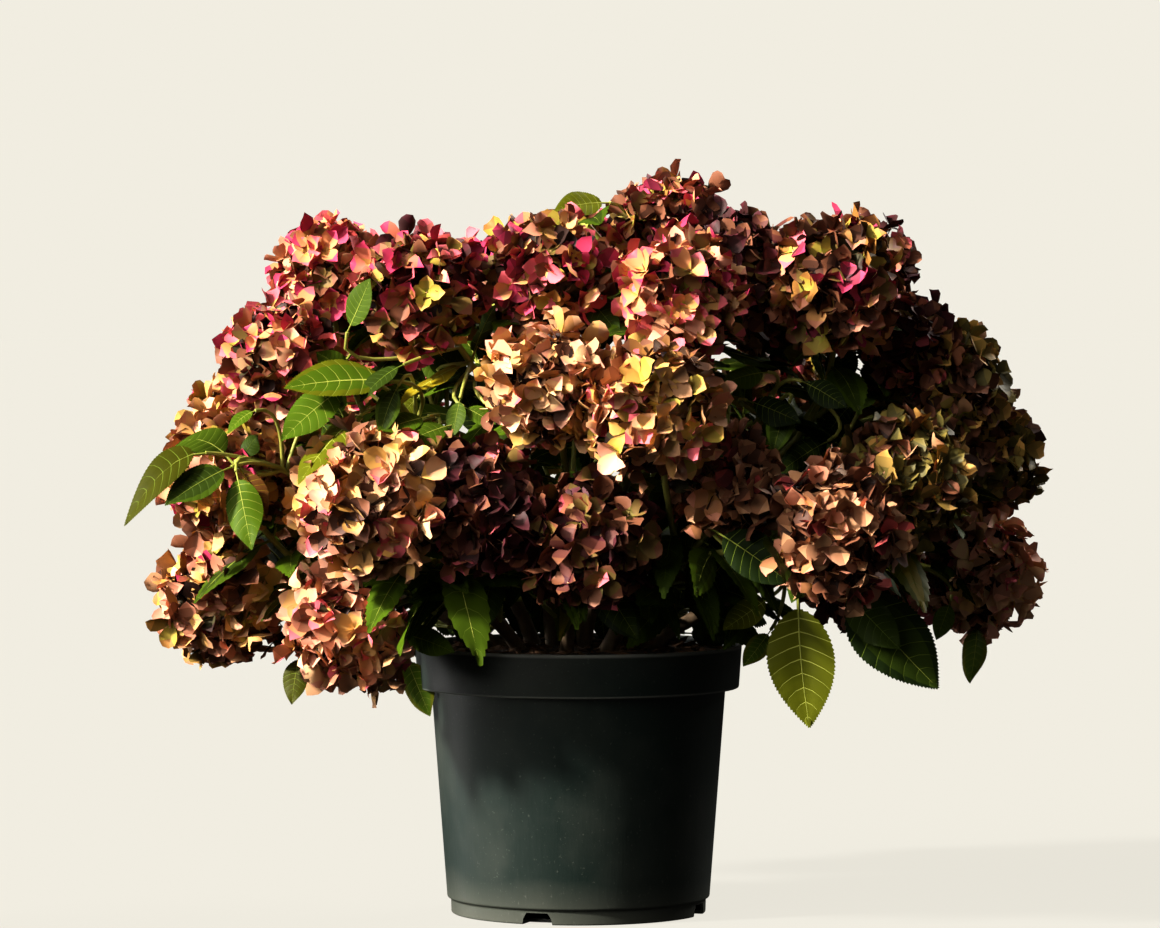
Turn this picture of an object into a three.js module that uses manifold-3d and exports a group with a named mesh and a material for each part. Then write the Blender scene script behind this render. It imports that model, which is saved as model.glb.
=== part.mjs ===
// A bigleaf hydrangea shrub with late-season mophead blooms, growing in a round ten-litre nursery pot.
// Millimetres, +Z up, front towards -Y. The origin is the middle of the pot's flat underside.
//
// Thirteen woody stems rise from the soil and lean apart. Each forks into flowering shoots: a green
// stalk with opposite pairs of leaves and one round bloom. A few shoots carry leaves and no bloom.
// Every stem is one tapering solid, and every shoot, with what it carries, is one solid.

import * as THREE from "three";
import { mergeVertices } from "three/addons/utils/BufferGeometryUtils.js";
import Module from "manifold-3d";

const wasm = await Module();
wasm.setup();

// ---- driving dimensions, mm ----

const GAP = 0.35; // clearance between neighbouring solids

const POT = {
  height: 230,
  rimRadius: 140, // outside of the lip
  rimFoot: 137.5, // outside of the rim band's lower edge
  rimBand: 37,
  bodyTop: 126,
  bodyFoot: 112.5,
  footRadius: 109,
  footHeight: 12,
  wall: 2.2,
  floor: 3,
  facets: 36,
};
const DRAIN = { count: 4, bearing: -108.7, width: 27, topWidth: 19, height: 10, reach: 20 };
const SOIL = { top: 226, plateau: 96, edge: 214 };

const STEM = { foot: 6.5, tip: 4, flare: 1.45, flareShare: 0.14, sides: 6, rings: 5, below: 12 };
const STEM_LEAN = { across: 0.3, up: 0.62 }; // where a stem's bend lies between its foot and its tip
const FORK_SHARE = 0.56; // how far a stem reaches towards the middle of its blooms
const FORK_STEP = 0.075; // share of the stem between one shoot's fork and the next
const SHOOT = { foot: 3.1, tip: 2.4, sides: 3, rings: 4, bend: 0.42 };
const BOWS = { sizes: [0, 14, 28, 42, 60, 80], ways: 8 }; // tried in turn until a stalk clears its neighbours

// A bloom is a ball of four-cornered florets. Each floret is a shallow cup that opens out of a groove.
const BLOOM = { groove: 0.77, rim: 0.97, floretShare: 0.84, ruffle: 0.06, uneven: 0.16 };

const LEAF = { length: 104, width: 0.6, thick: 0.028, fold: 0.16, droop: 0.3, belly: 0.42, sunk: 2 };
const PAIR_SHARES = [0.66]; // where leaf pairs stand on a flowering shoot, up to its bloom
const LEAFY_SHARES = [0.4, 0.62, 0.82, 1]; // and on a leafy shoot
const LEAF_SPREAD = 1.05; // radians between a leaf and its stalk

// ---- the plan of the shrub ----
// foot: bearing in degrees from +X and distance from the middle. blooms: x, y, z and radius of each.
// leafy: shoots without a bloom. end: x, y, z. from: the share of the stem where it starts. size: of its
// leaves. facing: the bearing and the rise in degrees that its tip points to.

const STEMS = [
  {
    foot: [186, 66],
    blooms: [
      [-298, -90, 386, 59],
      [-301, -30, 271, 58],
    ],
    leafy: [{ end: [-284, -168, 392], from: 0.8, size: 0.95, facing: [226, -4] }],
  },
  {
    foot: [160, 40],
    blooms: [
      [-218, 0, 548, 53],
      [-254, -100, 478, 50],
    ],
    leafy: [{ end: [-152, -182, 446], from: 0.7, size: 1.05, facing: [250, 24] }],
  },
  {
    foot: [226, 70],
    blooms: [
      [-165, -225, 362, 65],
      [-190, -132, 254, 57],
      [-83, -222, 358, 55],
    ],
    leafy: [{ end: [-120, -156, 266], from: 0.45, size: 0.75, facing: [238, -34] }],
  },
  {
    foot: [262, 68],
    blooms: [
      [8, -222, 330, 58],
      [-25, -236, 457, 54],
    ],
    leafy: [{ end: [-20, -168, 308], from: 0.55, size: 0.9, facing: [268, -24] }],
  },
  {
    foot: [290, 66],
    blooms: [
      [62, -268, 438, 57],
      [123, -206, 374, 50],
      [207, -244, 338, 57],
    ],
    leafy: [{ end: [186, -148, 280], from: 0.6, size: 0.96, facing: [268, -38] }],
  },
  {
    foot: [336, 64],
    blooms: [
      [272, -135, 376, 57],
      [338, -15, 290, 53],
      [350, 20, 388, 53],
    ],
    leafy: [],
  },
  {
    foot: [340, 28],
    blooms: [
      [216, -110, 541, 60],
      [262, 20, 556, 48],
      [314, -20, 446, 54],
      [274, -36, 497, 50],
    ],
    leafy: [{ end: [160, -150, 445], from: 0.8, size: 1.05, facing: [280, 18] }],
  },
  {
    foot: [280, 24],
    blooms: [
      [76, -45, 586, 55],
      [138, -95, 558, 53],
      [83, -190, 526, 53],
    ],
    leafy: [{ end: [8, -40, 588], from: 0.9, size: 0.8, facing: [200, 40] }],
  },
  {
    foot: [215, 26],
    blooms: [
      [-131, -165, 535, 56],
      [-28, -150, 552, 54],
    ],
    leafy: [],
  },
];

// The far side is planned by rings of blooms. A ring runs over bearings from..to round an ellipse.
const BACK_RINGS = {
  low: { z: 296, across: 300, deep: 272, from: 33, to: 147, count: 4, radius: 58 },
  middle: { z: 424, across: 300, deep: 272, from: 14, to: 166, count: 5, radius: 57 },
  high: { z: 534, across: 182, deep: 142, from: 24, to: 156, count: 3, radius: 55 },
};
const CROWN_MIDDLE = [-76, 26, 528, 54]; // a bloom over the middle, behind the front ones

function ringBloom(ring, index) {
  const { z, across, deep, from, to, count, radius } = BACK_RINGS[ring];
  const bearing = THREE.MathUtils.degToRad(from + ((to - from) * index) / (count - 1));
  const lift = index % 2 ? 14 : -8; // neighbours on a ring stand at unlike heights
  return [across * Math.cos(bearing), deep * Math.sin(bearing), z + lift, radius];
}

STEMS.push(
  {
    foot: [28, 64],
    blooms: [ringBloom("low", 0), ringBloom("middle", 0), ringBloom("middle", 1)],
    leafy: [],
  },
  {
    foot: [86, 66],
    blooms: [ringBloom("low", 1), ringBloom("low", 2), ringBloom("middle", 2)],
    leafy: [{ end: [10, 182, 340], from: 0.6, size: 1.05, facing: [88, -12] }],
  },
  {
    foot: [146, 66],
    blooms: [ringBloom("low", 3), ringBloom("middle", 4), ringBloom("middle", 3)],
    leafy: [],
  },
  {
    foot: [80, 26],
    blooms: [ringBloom("high", 0), ringBloom("high", 1), ringBloom("high", 2), CROWN_MIDDLE],
    leafy: [],
  },
);

// ---- geometry helpers ----

const UP = new THREE.Vector3(0, 0, 1);
const vector = (x, y, z) => new THREE.Vector3(x, y, z);

/** A three.js geometry of points and triangles, given as corner indices. */
function facetedGeometry(points, faces) {
  const geometry = new THREE.BufferGeometry();
  const places = points.flatMap((p) => [p.x, p.y, p.z]);
  geometry.setAttribute("position", new THREE.Float32BufferAttribute(places, 3));
  geometry.setIndex(faces.flat());
  return geometry;
}

/** A closed geometry as a solid that can be joined and cut. */
function solidOf(geometry) {
  const bare = geometry.clone();
  bare.deleteAttribute("normal");
  bare.deleteAttribute("uv");
  const merged = mergeVertices(bare, 1e-3);
  return new wasm.Manifold(
    new wasm.Mesh({
      numProp: 3,
      vertProperties: new Float32Array(merged.attributes.position.array),
      triVerts: new Uint32Array(merged.index.array),
    }),
  );
}

/** A solid as a three.js geometry. */
function geometryOf(solid) {
  const { vertProperties, triVerts, numProp, numVert } = solid.getMesh();
  const places = new Float32Array(numVert * 3);
  for (let i = 0; i < numVert; i++) {
    places.set(vertProperties.subarray(i * numProp, i * numProp + 3), i * 3);
  }
  const geometry = new THREE.BufferGeometry();
  geometry.setAttribute("position", new THREE.BufferAttribute(places, 3));
  geometry.setIndex(new THREE.BufferAttribute(new Uint32Array(triVerts), 1));
  geometry.computeVertexNormals();
  return geometry;
}

/** A repeatable random source: each call gives the next number from 0 to 1. */
function seeded(seed) {
  let state = seed * 7919 + 17;
  return () => {
    state = (state * 1103515245 + 12345) % 2147483648;
    return state / 2147483648;
  };
}

/** A round limb along a curve, with flat ends. grow widens and lengthens it evenly. */
function limb(curve, radiusAt, sides, rings, grow = 0) {
  const frames = curve.computeFrenetFrames(rings, false);
  const points = [];
  for (let ring = 0; ring <= rings; ring++) {
    const share = ring / rings;
    const centre = curve.getPointAt(share);
    const ends = ring === 0 ? -grow : ring === rings ? grow : 0;
    centre.addScaledVector(frames.tangents[ring], ends);
    const radius = radiusAt(share) + grow;
    for (let side = 0; side < sides; side++) {
      const angle = (2 * Math.PI * side) / sides;
      points.push(
        centre
          .clone()
          .addScaledVector(frames.normals[ring], radius * Math.cos(angle))
          .addScaledVector(frames.binormals[ring], radius * Math.sin(angle)),
      );
    }
  }
  const faces = [];
  for (let ring = 0; ring < rings; ring++) {
    for (let side = 0; side < sides; side++) {
      const next = (side + 1) % sides;
      const a = ring * sides + side;
      const b = ring * sides + next;
      faces.push([a, b, b + sides], [a, b + sides, a + sides]);
    }
  }
  const last = rings * sides;
  for (let side = 1; side < sides - 1; side++) {
    faces.push([0, side + 1, side], [last, last + side, last + side + 1]);
  }
  return facetedGeometry(points, faces);
}

// ---- pot and soil ----

/** A solid of revolution about Z from radius and height pairs that close on themselves. */
function turned(profile, facets) {
  const outline = profile.map(([radius, height]) => new THREE.Vector2(radius, height));
  return new THREE.LatheGeometry(outline, facets).rotateX(Math.PI / 2);
}

/** Half the inner width of the pot's body at a height, following its tapered wall. */
function innerRadius(height) {
  const ledge = POT.height - POT.rimBand;
  const share = (height - POT.footHeight) / (ledge - POT.footHeight);
  return THREE.MathUtils.lerp(POT.bodyFoot, POT.bodyTop, share) - POT.wall;
}

function potSolid() {
  const { height, rimRadius, rimFoot, bodyTop, bodyFoot, footRadius, footHeight, wall, floor } = POT;
  const ledge = height - POT.rimBand;
  const profile = [
    [0, 0],
    [footRadius, 0],
    [footRadius + 0.4, footHeight],
    [bodyFoot, footHeight + 1.5],
    [bodyTop, ledge],
    [rimFoot, ledge],
    [rimRadius, height - 1.5],
    [rimRadius - 0.8, height],
    [rimRadius - wall, height],
    [rimFoot - wall, ledge + wall],
    [bodyTop - wall, ledge + wall],
    [innerRadius(footHeight + 1.5), footHeight + 1.5],
    [footRadius - wall, footHeight],
    [footRadius - wall, floor],
    [0, floor],
  ];
  const shell = solidOf(turned(profile, POT.facets));
  return Array.from({ length: DRAIN.count }).reduce((pot, _, index) => {
    const bearing = DRAIN.bearing + (360 / DRAIN.count) * index;
    return pot.subtract(drainNotch(THREE.MathUtils.degToRad(bearing)));
  }, shell);
}

/** The arch-shaped cut of one drain hole, through the foot's wall and the floor's edge. */
function drainNotch(bearing) {
  const half = DRAIN.width / 2;
  const top = DRAIN.topWidth / 2;
  const arch = new THREE.Shape([
    new THREE.Vector2(-half, -1),
    new THREE.Vector2(half, -1),
    new THREE.Vector2(top, DRAIN.height),
    new THREE.Vector2(-top, DRAIN.height),
  ]);
  const cut = new THREE.ExtrudeGeometry(arch, { depth: DRAIN.reach * 2, bevelEnabled: false });
  cut.rotateX(Math.PI / 2); // the arch stands up, and the cut runs along -Y
  cut.rotateZ(Math.PI / 2); // and now along +X, outwards
  cut.translate(POT.footRadius - DRAIN.reach, 0, 0);
  cut.rotateZ(bearing);
  return solidOf(cut);
}

function soilSolid() {
  const ledge = POT.height - POT.rimBand + POT.wall + GAP;
  const profile = [
    [0, POT.floor + GAP],
    [POT.footRadius - POT.wall - GAP, POT.floor + GAP],
    [POT.footRadius - POT.wall - GAP, POT.footHeight],
    [innerRadius(POT.footHeight + 1.5) - GAP, POT.footHeight + 2],
    [innerRadius(ledge) - 2 * GAP, ledge],
    [POT.rimFoot - POT.wall - GAP, ledge],
    [POT.rimFoot - POT.wall - GAP + 0.6, SOIL.edge],
    [SOIL.plateau, SOIL.top],
    [0, SOIL.top],
  ];
  return solidOf(turned(profile, POT.facets));
}

// ---- stems ----

function middleOf(blooms) {
  const sum = blooms.reduce((total, [x, y, z]) => total.add(vector(x, y, z)), vector(0, 0, 0));
  return sum.divideScalar(blooms.length);
}

/** The line a woody stem follows: up from the soil, then leaning out towards its blooms. */
function stemCurve({ foot: [bearing, distance], blooms }) {
  const angle = THREE.MathUtils.degToRad(bearing);
  const foot = vector(Math.cos(angle) * distance, Math.sin(angle) * distance, SOIL.top);
  const tip = foot.clone().lerp(middleOf(blooms), FORK_SHARE);
  const bend = vector(
    THREE.MathUtils.lerp(foot.x, tip.x, STEM_LEAN.across),
    THREE.MathUtils.lerp(foot.y, tip.y, STEM_LEAN.across),
    THREE.MathUtils.lerp(foot.z, tip.z, STEM_LEAN.up),
  );
  const below = foot.clone().addScaledVector(foot.clone().sub(bend).normalize(), STEM.below);
  return new THREE.QuadraticBezierCurve3(below, bend, tip);
}

/** A stem's radius along its length, with a flare at the foot. */
function stemRadius(share) {
  const flare = Math.max(0, 1 - share / STEM.flareShare) ** 2 * (STEM.flare - 1);
  return THREE.MathUtils.lerp(STEM.foot, STEM.tip, share) * (1 + flare);
}

function stemSolid(curve, grow = 0) {
  const whole = solidOf(limb(curve, stemRadius, STEM.sides, STEM.rings, grow));
  return whole.trimByPlane([0, 0, 1], SOIL.top + GAP - grow);
}

// ---- shoots: a stalk with leaf pairs and, on most, a bloom ----

/**
 * The line of a shoot from its fork on the stem to its end, bowed out by size the given way round.
 * It leaves along the stem, or with a facing arrives along that.
 */
function shootCurve(stem, { forkShare, centre, facing }, size, way) {
  const start = stem.getPointAt(forkShare);
  const reach = centre.distanceTo(start);
  const line = centre.clone().sub(start).normalize();
  const side = line.clone().cross(UP).normalize().applyAxisAngle(line, way);
  const bend = facing
    ? centre.clone().addScaledVector(facing, -reach * SHOOT.bend)
    : start.clone().addScaledVector(stem.getTangentAt(forkShare), reach * SHOOT.bend);
  return new THREE.QuadraticBezierCurve3(start, bend.addScaledVector(side, size), centre);
}

const shootRadius = (share) => THREE.MathUtils.lerp(SHOOT.foot, SHOOT.tip, share);

/**
 * A leaf of eight faces: a kite folded up along its midrib, whose tip hangs.
 * It starts at the stalk's point and runs along heading, its upper side towards above.
 */
function leafSolid(start, heading, above, length) {
  const side = heading.clone().cross(above).normalize();
  const top = side.clone().cross(heading).normalize();
  const half = (length * LEAF.width) / 2;
  const at = (along, across, lift) =>
    start
      .clone()
      .addScaledVector(heading, along * length)
      .addScaledVector(side, across)
      .addScaledVector(top, lift * length);
  const sag = (along) => vector(0, 0, -LEAF.droop * length * along * along);
  const spots = [
    at(0, 0, 0),
    at(LEAF.belly, half, LEAF.fold * LEAF.width).add(sag(LEAF.belly)),
    at(1, 0, 0).add(sag(1)),
    at(LEAF.belly, -half, LEAF.fold * LEAF.width).add(sag(LEAF.belly)),
    at(LEAF.belly, 0, LEAF.thick / 2).add(sag(LEAF.belly)),
    at(LEAF.belly, 0, -LEAF.thick / 2).add(sag(LEAF.belly)),
  ];
  const faces = [0, 1, 2, 3].flatMap((corner) => {
    const next = (corner + 1) % 4;
    return [
      [corner, next, 4],
      [next, corner, 5],
    ];
  });
  return solidOf(facetedGeometry(spots, faces));
}

/**
 * Where a shoot's leaves start and point: opposite pairs, each turned a quarter from the next, with the
 * pair nearest the tip level.
 */
function leafPlaces(curve, shares, size) {
  return shares.flatMap((share, pair) => {
    const point = curve.getPointAt(share);
    const along = curve.getTangentAt(share);
    const level = along.clone().cross(UP).normalize();
    const turn = ((shares.length - 1 - pair) % 2) * (Math.PI / 2);
    const quarter = level.applyAxisAngle(along, turn);
    return [1, -1].map((hand) => {
      const out = quarter.clone().multiplyScalar(hand);
      const heading = along
        .clone()
        .multiplyScalar(Math.cos(LEAF_SPREAD))
        .addScaledVector(out, Math.sin(LEAF_SPREAD));
      const start = point.clone().addScaledVector(heading, -LEAF.sunk);
      return { start, heading, above: along, length: LEAF.length * size };
    });
  });
}

/** The 24 four-cornered cells of a ball, from a cube whose faces are quartered, as unit directions. */
function ballCells() {
  const ends = [-1, 1];
  const axes = [0, 1, 2];
  const direction = (parts) => vector(...parts).normalize();
  return axes.flatMap((axis) =>
    ends.flatMap((end) =>
      [0, 1, 2, 3].map((quarter) => {
        const first = quarter % 2 ? 1 : -1;
        const second = quarter > 1 ? 1 : -1;
        const corner = (u, v) => {
          const parts = [0, 0, 0];
          parts[axis] = end;
          parts[(axis + 1) % 3] = u;
          parts[(axis + 2) % 3] = v;
          return direction(parts);
        };
        const ring = [corner(0, 0), corner(first, 0), corner(first, second), corner(0, second)];
        return first * second * end > 0 ? ring : ring.reverse();
      }),
    ),
  );
}

/** How far a bloom may reach along a direction before it crosses into a neighbouring bloom's half. */
function freeReach(bloom, neighbours, outward, wanted) {
  return neighbours.reduce((reach, other) => {
    const across = other.centre.clone().sub(bloom.centre);
    const span = across.length();
    const wall = (span * bloom.radius) / (bloom.radius + other.radius) - GAP;
    const cosine = outward.dot(across.divideScalar(span));
    return cosine > 1e-6 ? Math.min(reach, wall / cosine) : reach;
  }, wanted);
}

/**
 * A bloom as one closed surface: on each cell of a ball, a floret flares from the grooves round it to
 * a four-cornered rim. Florets pressed against another bloom stay on their own side.
 */
function bloomSolid(bloom, neighbours, random) {
  const spin = new THREE.Quaternion().setFromEuler(
    new THREE.Euler(random() * 6, random() * 6, random() * 6),
  );
  const points = [];
  const known = new Map();
  const place = (outward, share) => {
    const reach = freeReach(bloom, neighbours, outward, bloom.radius * share);
    points.push(bloom.centre.clone().addScaledVector(outward, reach));
    return points.length - 1;
  };
  const grooveAt = (direction) => {
    const key = direction.toArray().map((part) => part.toFixed(3)).join();
    if (!known.has(key)) {
      const shift = vector(random() - 0.5, random() - 0.5, random() - 0.5);
      const outward = direction.clone().addScaledVector(shift, BLOOM.uneven).normalize();
      outward.applyQuaternion(spin);
      known.set(key, { outward, index: place(outward, BLOOM.groove) });
    }
    return known.get(key);
  };
  const faces = ballCells().flatMap((cell) => {
    const grooves = cell.map(grooveAt);
    const middle = grooves.reduce((sum, { outward }) => sum.add(outward), vector(0, 0, 0)).normalize();
    const rim = grooves.map(({ outward }) =>
      place(
        middle.clone().lerp(outward, BLOOM.floretShare).normalize(),
        BLOOM.rim + BLOOM.ruffle * (random() - 0.4),
      ),
    );
    const walls = grooves.flatMap(({ index }, side) => {
      const next = (side + 1) % 4;
      return [
        [index, grooves[next].index, rim[next]],
        [index, rim[next], rim[side]],
      ];
    });
    return [...walls, [rim[0], rim[1], rim[2]], [rim[0], rim[2], rim[3]]];
  });
  return solidOf(facetedGeometry(points, faces));
}

// ---- keeping the solids apart ----

/** True if two solids' boxes come within reach of each other. */
function boxesMeet(a, b, reach) {
  return [0, 1, 2].every((i) => a.min[i] - reach < b.max[i] && b.min[i] - reach < a.max[i]);
}

/** A list of solids with an owner each, that can say whether a new one is clear of all but its own. */
class Neighbours {
  constructor() {
    this.list = [];
  }
  add(owner, solid) {
    this.list.push({ owner, solid, box: solid.boundingBox() });
    return solid;
  }
  clearOf(solid, ...owners) {
    const box = solid.boundingBox();
    return this.list.every(
      (other) =>
        owners.includes(other.owner) ||
        !boxesMeet(box, other.box, 2 * GAP) ||
        solid.minGap(other.solid, 4 * GAP) > GAP,
    );
  }
}

// ---- building the shrub ----

const COLOURS = {
  pot: { color: 0x1b2a26, roughness: 0.42, metalness: 0 },
  soil: { color: 0x2b1d14, roughness: 0.95, metalness: 0 },
  stem: { color: 0x5d4a2c, roughness: 0.8, metalness: 0 },
  bloom: { color: 0xa8605a, roughness: 0.7, metalness: 0 },
  leaf: { color: 0x2f5a1e, roughness: 0.55, metalness: 0 },
};

const shrub = new THREE.Group();

function addNode(name, solid, finish) {
  const mesh = new THREE.Mesh(geometryOf(solid), new THREE.MeshStandardMaterial(COLOURS[finish]));
  mesh.name = name;
  shrub.add(mesh);
}

const numbered = (word, index) => `${word}_${String(index + 1).padStart(2, "0")}`;

const placed = new Neighbours();
addNode("pot", placed.add("pot", potSolid()), "pot");
addNode("soil", placed.add("soil", soilSolid()), "soil");

const stems = STEMS.map((plan, index) => {
  const name = numbered("stem", index);
  const curve = stemCurve(plan);
  addNode(name, placed.add(name, stemSolid(curve)), "stem");
  return { name, curve, reach: stemSolid(curve, GAP), plan };
});

/** The least bow of a shoot that keeps its stalk clear of everything but its own bloom. */
function clearStalk({ stem, name, ...shoot }) {
  for (const size of BOWS.sizes) {
    for (let way = 0; way < (size ? BOWS.ways : 1); way++) {
      const curve = shootCurve(stem.curve, shoot, size, (way * 2 * Math.PI) / BOWS.ways);
      const whole = solidOf(limb(curve, shootRadius, SHOOT.sides, SHOOT.rings));
      const stalk = whole.subtract(stem.reach);
      if (placed.clearOf(stalk, stem.name, name)) return { curve, stalk };
    }
  }
  throw new Error(`${name} finds no clear way from its stem`);
}

/** Joins a shoot's stalk and bloom to those of its leaves that clear everything round them. */
function dress(shoot, leaves) {
  const parts = shoot.bloom ? [shoot.stalk, shoot.bloom] : [shoot.stalk];
  for (const { start, heading, above, length } of leaves) {
    const leaf = leafSolid(start, heading, above, length);
    const offBloom = !shoot.bloom || leaf.minGap(shoot.bloom, GAP) >= GAP;
    if (offBloom && placed.clearOf(leaf, shoot.name)) {
      placed.add(shoot.name, leaf);
      parts.push(leaf);
    }
  }
  return wasm.Manifold.union(parts);
}

const flowering = stems.flatMap((stem) =>
  stem.plan.blooms.map(([x, y, z, radius], order) => ({
    stem,
    centre: vector(x, y, z),
    radius,
    forkShare: 1 - order * FORK_STEP,
  })),
);
const leafy = stems.flatMap((stem) =>
  stem.plan.leafy.map(({ end, from, size, facing: [bearing, rise] }) => ({
    stem,
    centre: vector(...end),
    forkShare: from,
    size,
    facing: vector(1, 0, 0)
      .applyAxisAngle(vector(0, -1, 0), THREE.MathUtils.degToRad(rise))
      .applyAxisAngle(UP, THREE.MathUtils.degToRad(bearing)),
  })),
);

// Blooms first, then stalks, so that every leaf can keep clear of both.
flowering.forEach((shoot, index) => {
  shoot.name = numbered("bloom", index);
  const others = flowering.filter((other) => other !== shoot);
  shoot.bloom = placed.add(shoot.name, bloomSolid(shoot, others, seeded(index + 1)));
});
leafy.forEach((shoot, index) => {
  shoot.name = numbered("leaves", index);
});
for (const shoot of [...flowering, ...leafy]) {
  Object.assign(shoot, clearStalk(shoot));
  placed.add(shoot.name, shoot.stalk);
}
for (const shoot of leafy) {
  addNode(shoot.name, dress(shoot, leafPlaces(shoot.curve, LEAFY_SHARES, shoot.size)), "leaf");
}
for (const shoot of flowering) {
  const toBloom = 1 - (shoot.radius * BLOOM.groove) / shoot.curve.getLength();
  const shares = PAIR_SHARES.map((share) => share * toBloom);
  addNode(shoot.name, dress(shoot, leafPlaces(shoot.curve, shares, 0.9)), "bloom");
}

export default shrub;
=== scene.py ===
"""A bigleaf hydrangea with late-season mophead blooms, growing in a plain round nursery pot.

The plan of the shrub is the one that its solids follow: woody stems that fork into shoots, and on each
shoot a stalk, opposite pairs of leaves and one round bloom. Here every bloom is grown out into its florets
and every leaf gets its teeth and veins. The plan is in millimetres, and what is made is in metres.
"""

import math
import random

import bmesh
import bpy
import numpy as np
from mathutils import Matrix, Quaternion, Vector, noise


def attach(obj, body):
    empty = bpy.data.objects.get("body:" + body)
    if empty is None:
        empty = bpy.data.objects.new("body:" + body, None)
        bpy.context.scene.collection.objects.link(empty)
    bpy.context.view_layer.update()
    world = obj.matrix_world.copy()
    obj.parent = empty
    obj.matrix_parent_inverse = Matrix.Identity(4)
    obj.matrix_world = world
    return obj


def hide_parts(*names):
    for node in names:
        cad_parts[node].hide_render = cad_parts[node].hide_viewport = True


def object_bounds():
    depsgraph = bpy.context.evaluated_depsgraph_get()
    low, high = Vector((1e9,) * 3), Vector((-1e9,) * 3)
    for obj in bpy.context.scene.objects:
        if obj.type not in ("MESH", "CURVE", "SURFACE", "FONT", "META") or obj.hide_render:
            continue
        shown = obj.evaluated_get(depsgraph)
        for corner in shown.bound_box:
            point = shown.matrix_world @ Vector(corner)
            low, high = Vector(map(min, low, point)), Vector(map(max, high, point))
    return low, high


MM = 0.001
UP = Vector((0, 0, 1))
BODY = "root"

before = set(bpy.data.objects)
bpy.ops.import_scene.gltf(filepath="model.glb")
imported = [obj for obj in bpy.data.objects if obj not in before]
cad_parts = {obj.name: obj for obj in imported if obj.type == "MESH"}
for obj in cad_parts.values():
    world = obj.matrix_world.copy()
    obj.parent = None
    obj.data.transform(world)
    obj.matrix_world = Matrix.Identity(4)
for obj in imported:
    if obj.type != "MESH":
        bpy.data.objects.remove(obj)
CAD_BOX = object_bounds()


# ---- the plan of the shrub, in millimetres ----
# foot: bearing in degrees from +X and distance from the middle. blooms: x, y, z, radius and colouring.
# leafy: shoots without a bloom. end: x, y, z. start: the share of the stem where it forks off. size: of
# its leaves. facing: the bearing and the rise in degrees that its tip points to.

STEMS = [
    {
        "foot": (186, 66),
        "blooms": [(-294, -90, 379, 57, "tan"), (-301, -30, 271, 58, "tan")],
        "leafy": [{"end": (-284, -168, 392), "start": 0.8, "size": 0.95, "facing": (226, -4)}],
    },
    {
        "foot": (160, 40),
        "blooms": [(-213, 0, 543, 51, "pink"), (-251, -100, 477, 50, "pink")],
        "leafy": [{"end": (-152, -182, 446), "start": 0.7, "size": 1.05, "facing": (250, 24)}],
    },
    {
        "foot": (226, 70),
        "blooms": [
            (-165, -225, 362, 65, "cream"),
            (-190, -144, 254, 57, "dusty"),
            # This bloom's maroon is partly its own colour and partly painted shade.
            (-83, -222, 358, 55, "maroon"),
        ],
        "leafy": [{"end": (-120, -156, 266), "start": 0.45, "size": 0.75, "facing": (238, -34)}],
    },
    {
        "foot": (262, 68),
        # The first bloom's maroon is partly its own colour and partly painted shade.
        "blooms": [(8, -222, 330, 58, "maroon"), (-25, -236, 457, 54, "cream")],
        "leafy": [{"end": (-20, -168, 308), "start": 0.55, "size": 0.9, "facing": (268, -24)}],
    },
    {
        "foot": (290, 66),
        "blooms": [
            (62, -268, 438, 57, "straw"),
            # This shaded bloom takes russet rather than maroon: partly its own colour, partly painted light.
            (123, -206, 374, 50, "russet"),
            (207, -244, 338, 57, "russet"),
        ],
        "leafy": [{"end": (186, -148, 280), "start": 0.6, "size": 0.96, "facing": (268, -38)}],
    },
    {
        "foot": (336, 64),
        "blooms": [
            (272, -135, 376, 57, "olive"),
            # This bloom in deep shade takes the pale dusty colouring: partly its own colour, partly painted
            # light.
            (338, -15, 290, 53, "dusty"),
            (346, 20, 388, 52, "olive"),
        ],
        "leafy": [],
    },
    {
        "foot": (340, 28),
        "blooms": [
            (216, -110, 539, 58, "coral"),
            (250, 20, 552, 41, "maroon"),
            (313, -20, 450, 53, "olive"),
            (275, -36, 486, 47, "maroon"),
        ],
        "leafy": [{"end": (160, -150, 445), "start": 0.8, "size": 1.05, "facing": (280, 18)}],
    },
    {
        "foot": (280, 24),
        "blooms": [
            (77, -45, 582, 54, "coral"),
            (135, -95, 550, 51, "maroon"),
            (83, -190, 526, 53, "pink"),
        ],
        "leafy": [{"end": (8, -40, 588), "start": 0.9, "size": 0.8, "facing": (200, 40)}],
    },
    {
        "foot": (215, 26),
        "blooms": [(-131, -165, 531, 55, "magenta"), (-26, -150, 547, 52, "coral")],
        "leafy": [],
    },
]

# The far side is planned by rings of blooms. A ring runs over bearings from..to round an ellipse.
BACK_RINGS = {
    "low": {"z": 296, "across": 300, "deep": 272, "from": 33, "to": 147, "count": 4, "radius": 58},
    "middle": {"z": 421, "across": 288, "deep": 272, "from": 14, "to": 166, "count": 5, "radius": 57},
    "high": {"z": 534, "across": 182, "deep": 142, "from": 24, "to": 156, "count": 3, "radius": 55},
}
RING_LIFTS = (-8, 14)  # neighbours on a ring stand at unlike heights
RING_COLOURINGS = {
    "low": ("plum", "russet", "straw", "dusty"),
    "middle": ("olive", "coral", "cream", "pink", "tan"),
    "high": ("maroon", "coral", "pink"),
}
CROWN_MIDDLE = (-76, 26, 528, 54, "magenta")  # a bloom over the middle, behind the front ones


def ring_bloom(name, index):
    ring = BACK_RINGS[name]
    step = (ring["to"] - ring["from"]) / (ring["count"] - 1)
    bearing = math.radians(ring["from"] + step * index)
    x = ring["across"] * math.cos(bearing)
    y = ring["deep"] * math.sin(bearing)
    return (x, y, ring["z"] + RING_LIFTS[index % 2], ring["radius"], RING_COLOURINGS[name][index])


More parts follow.
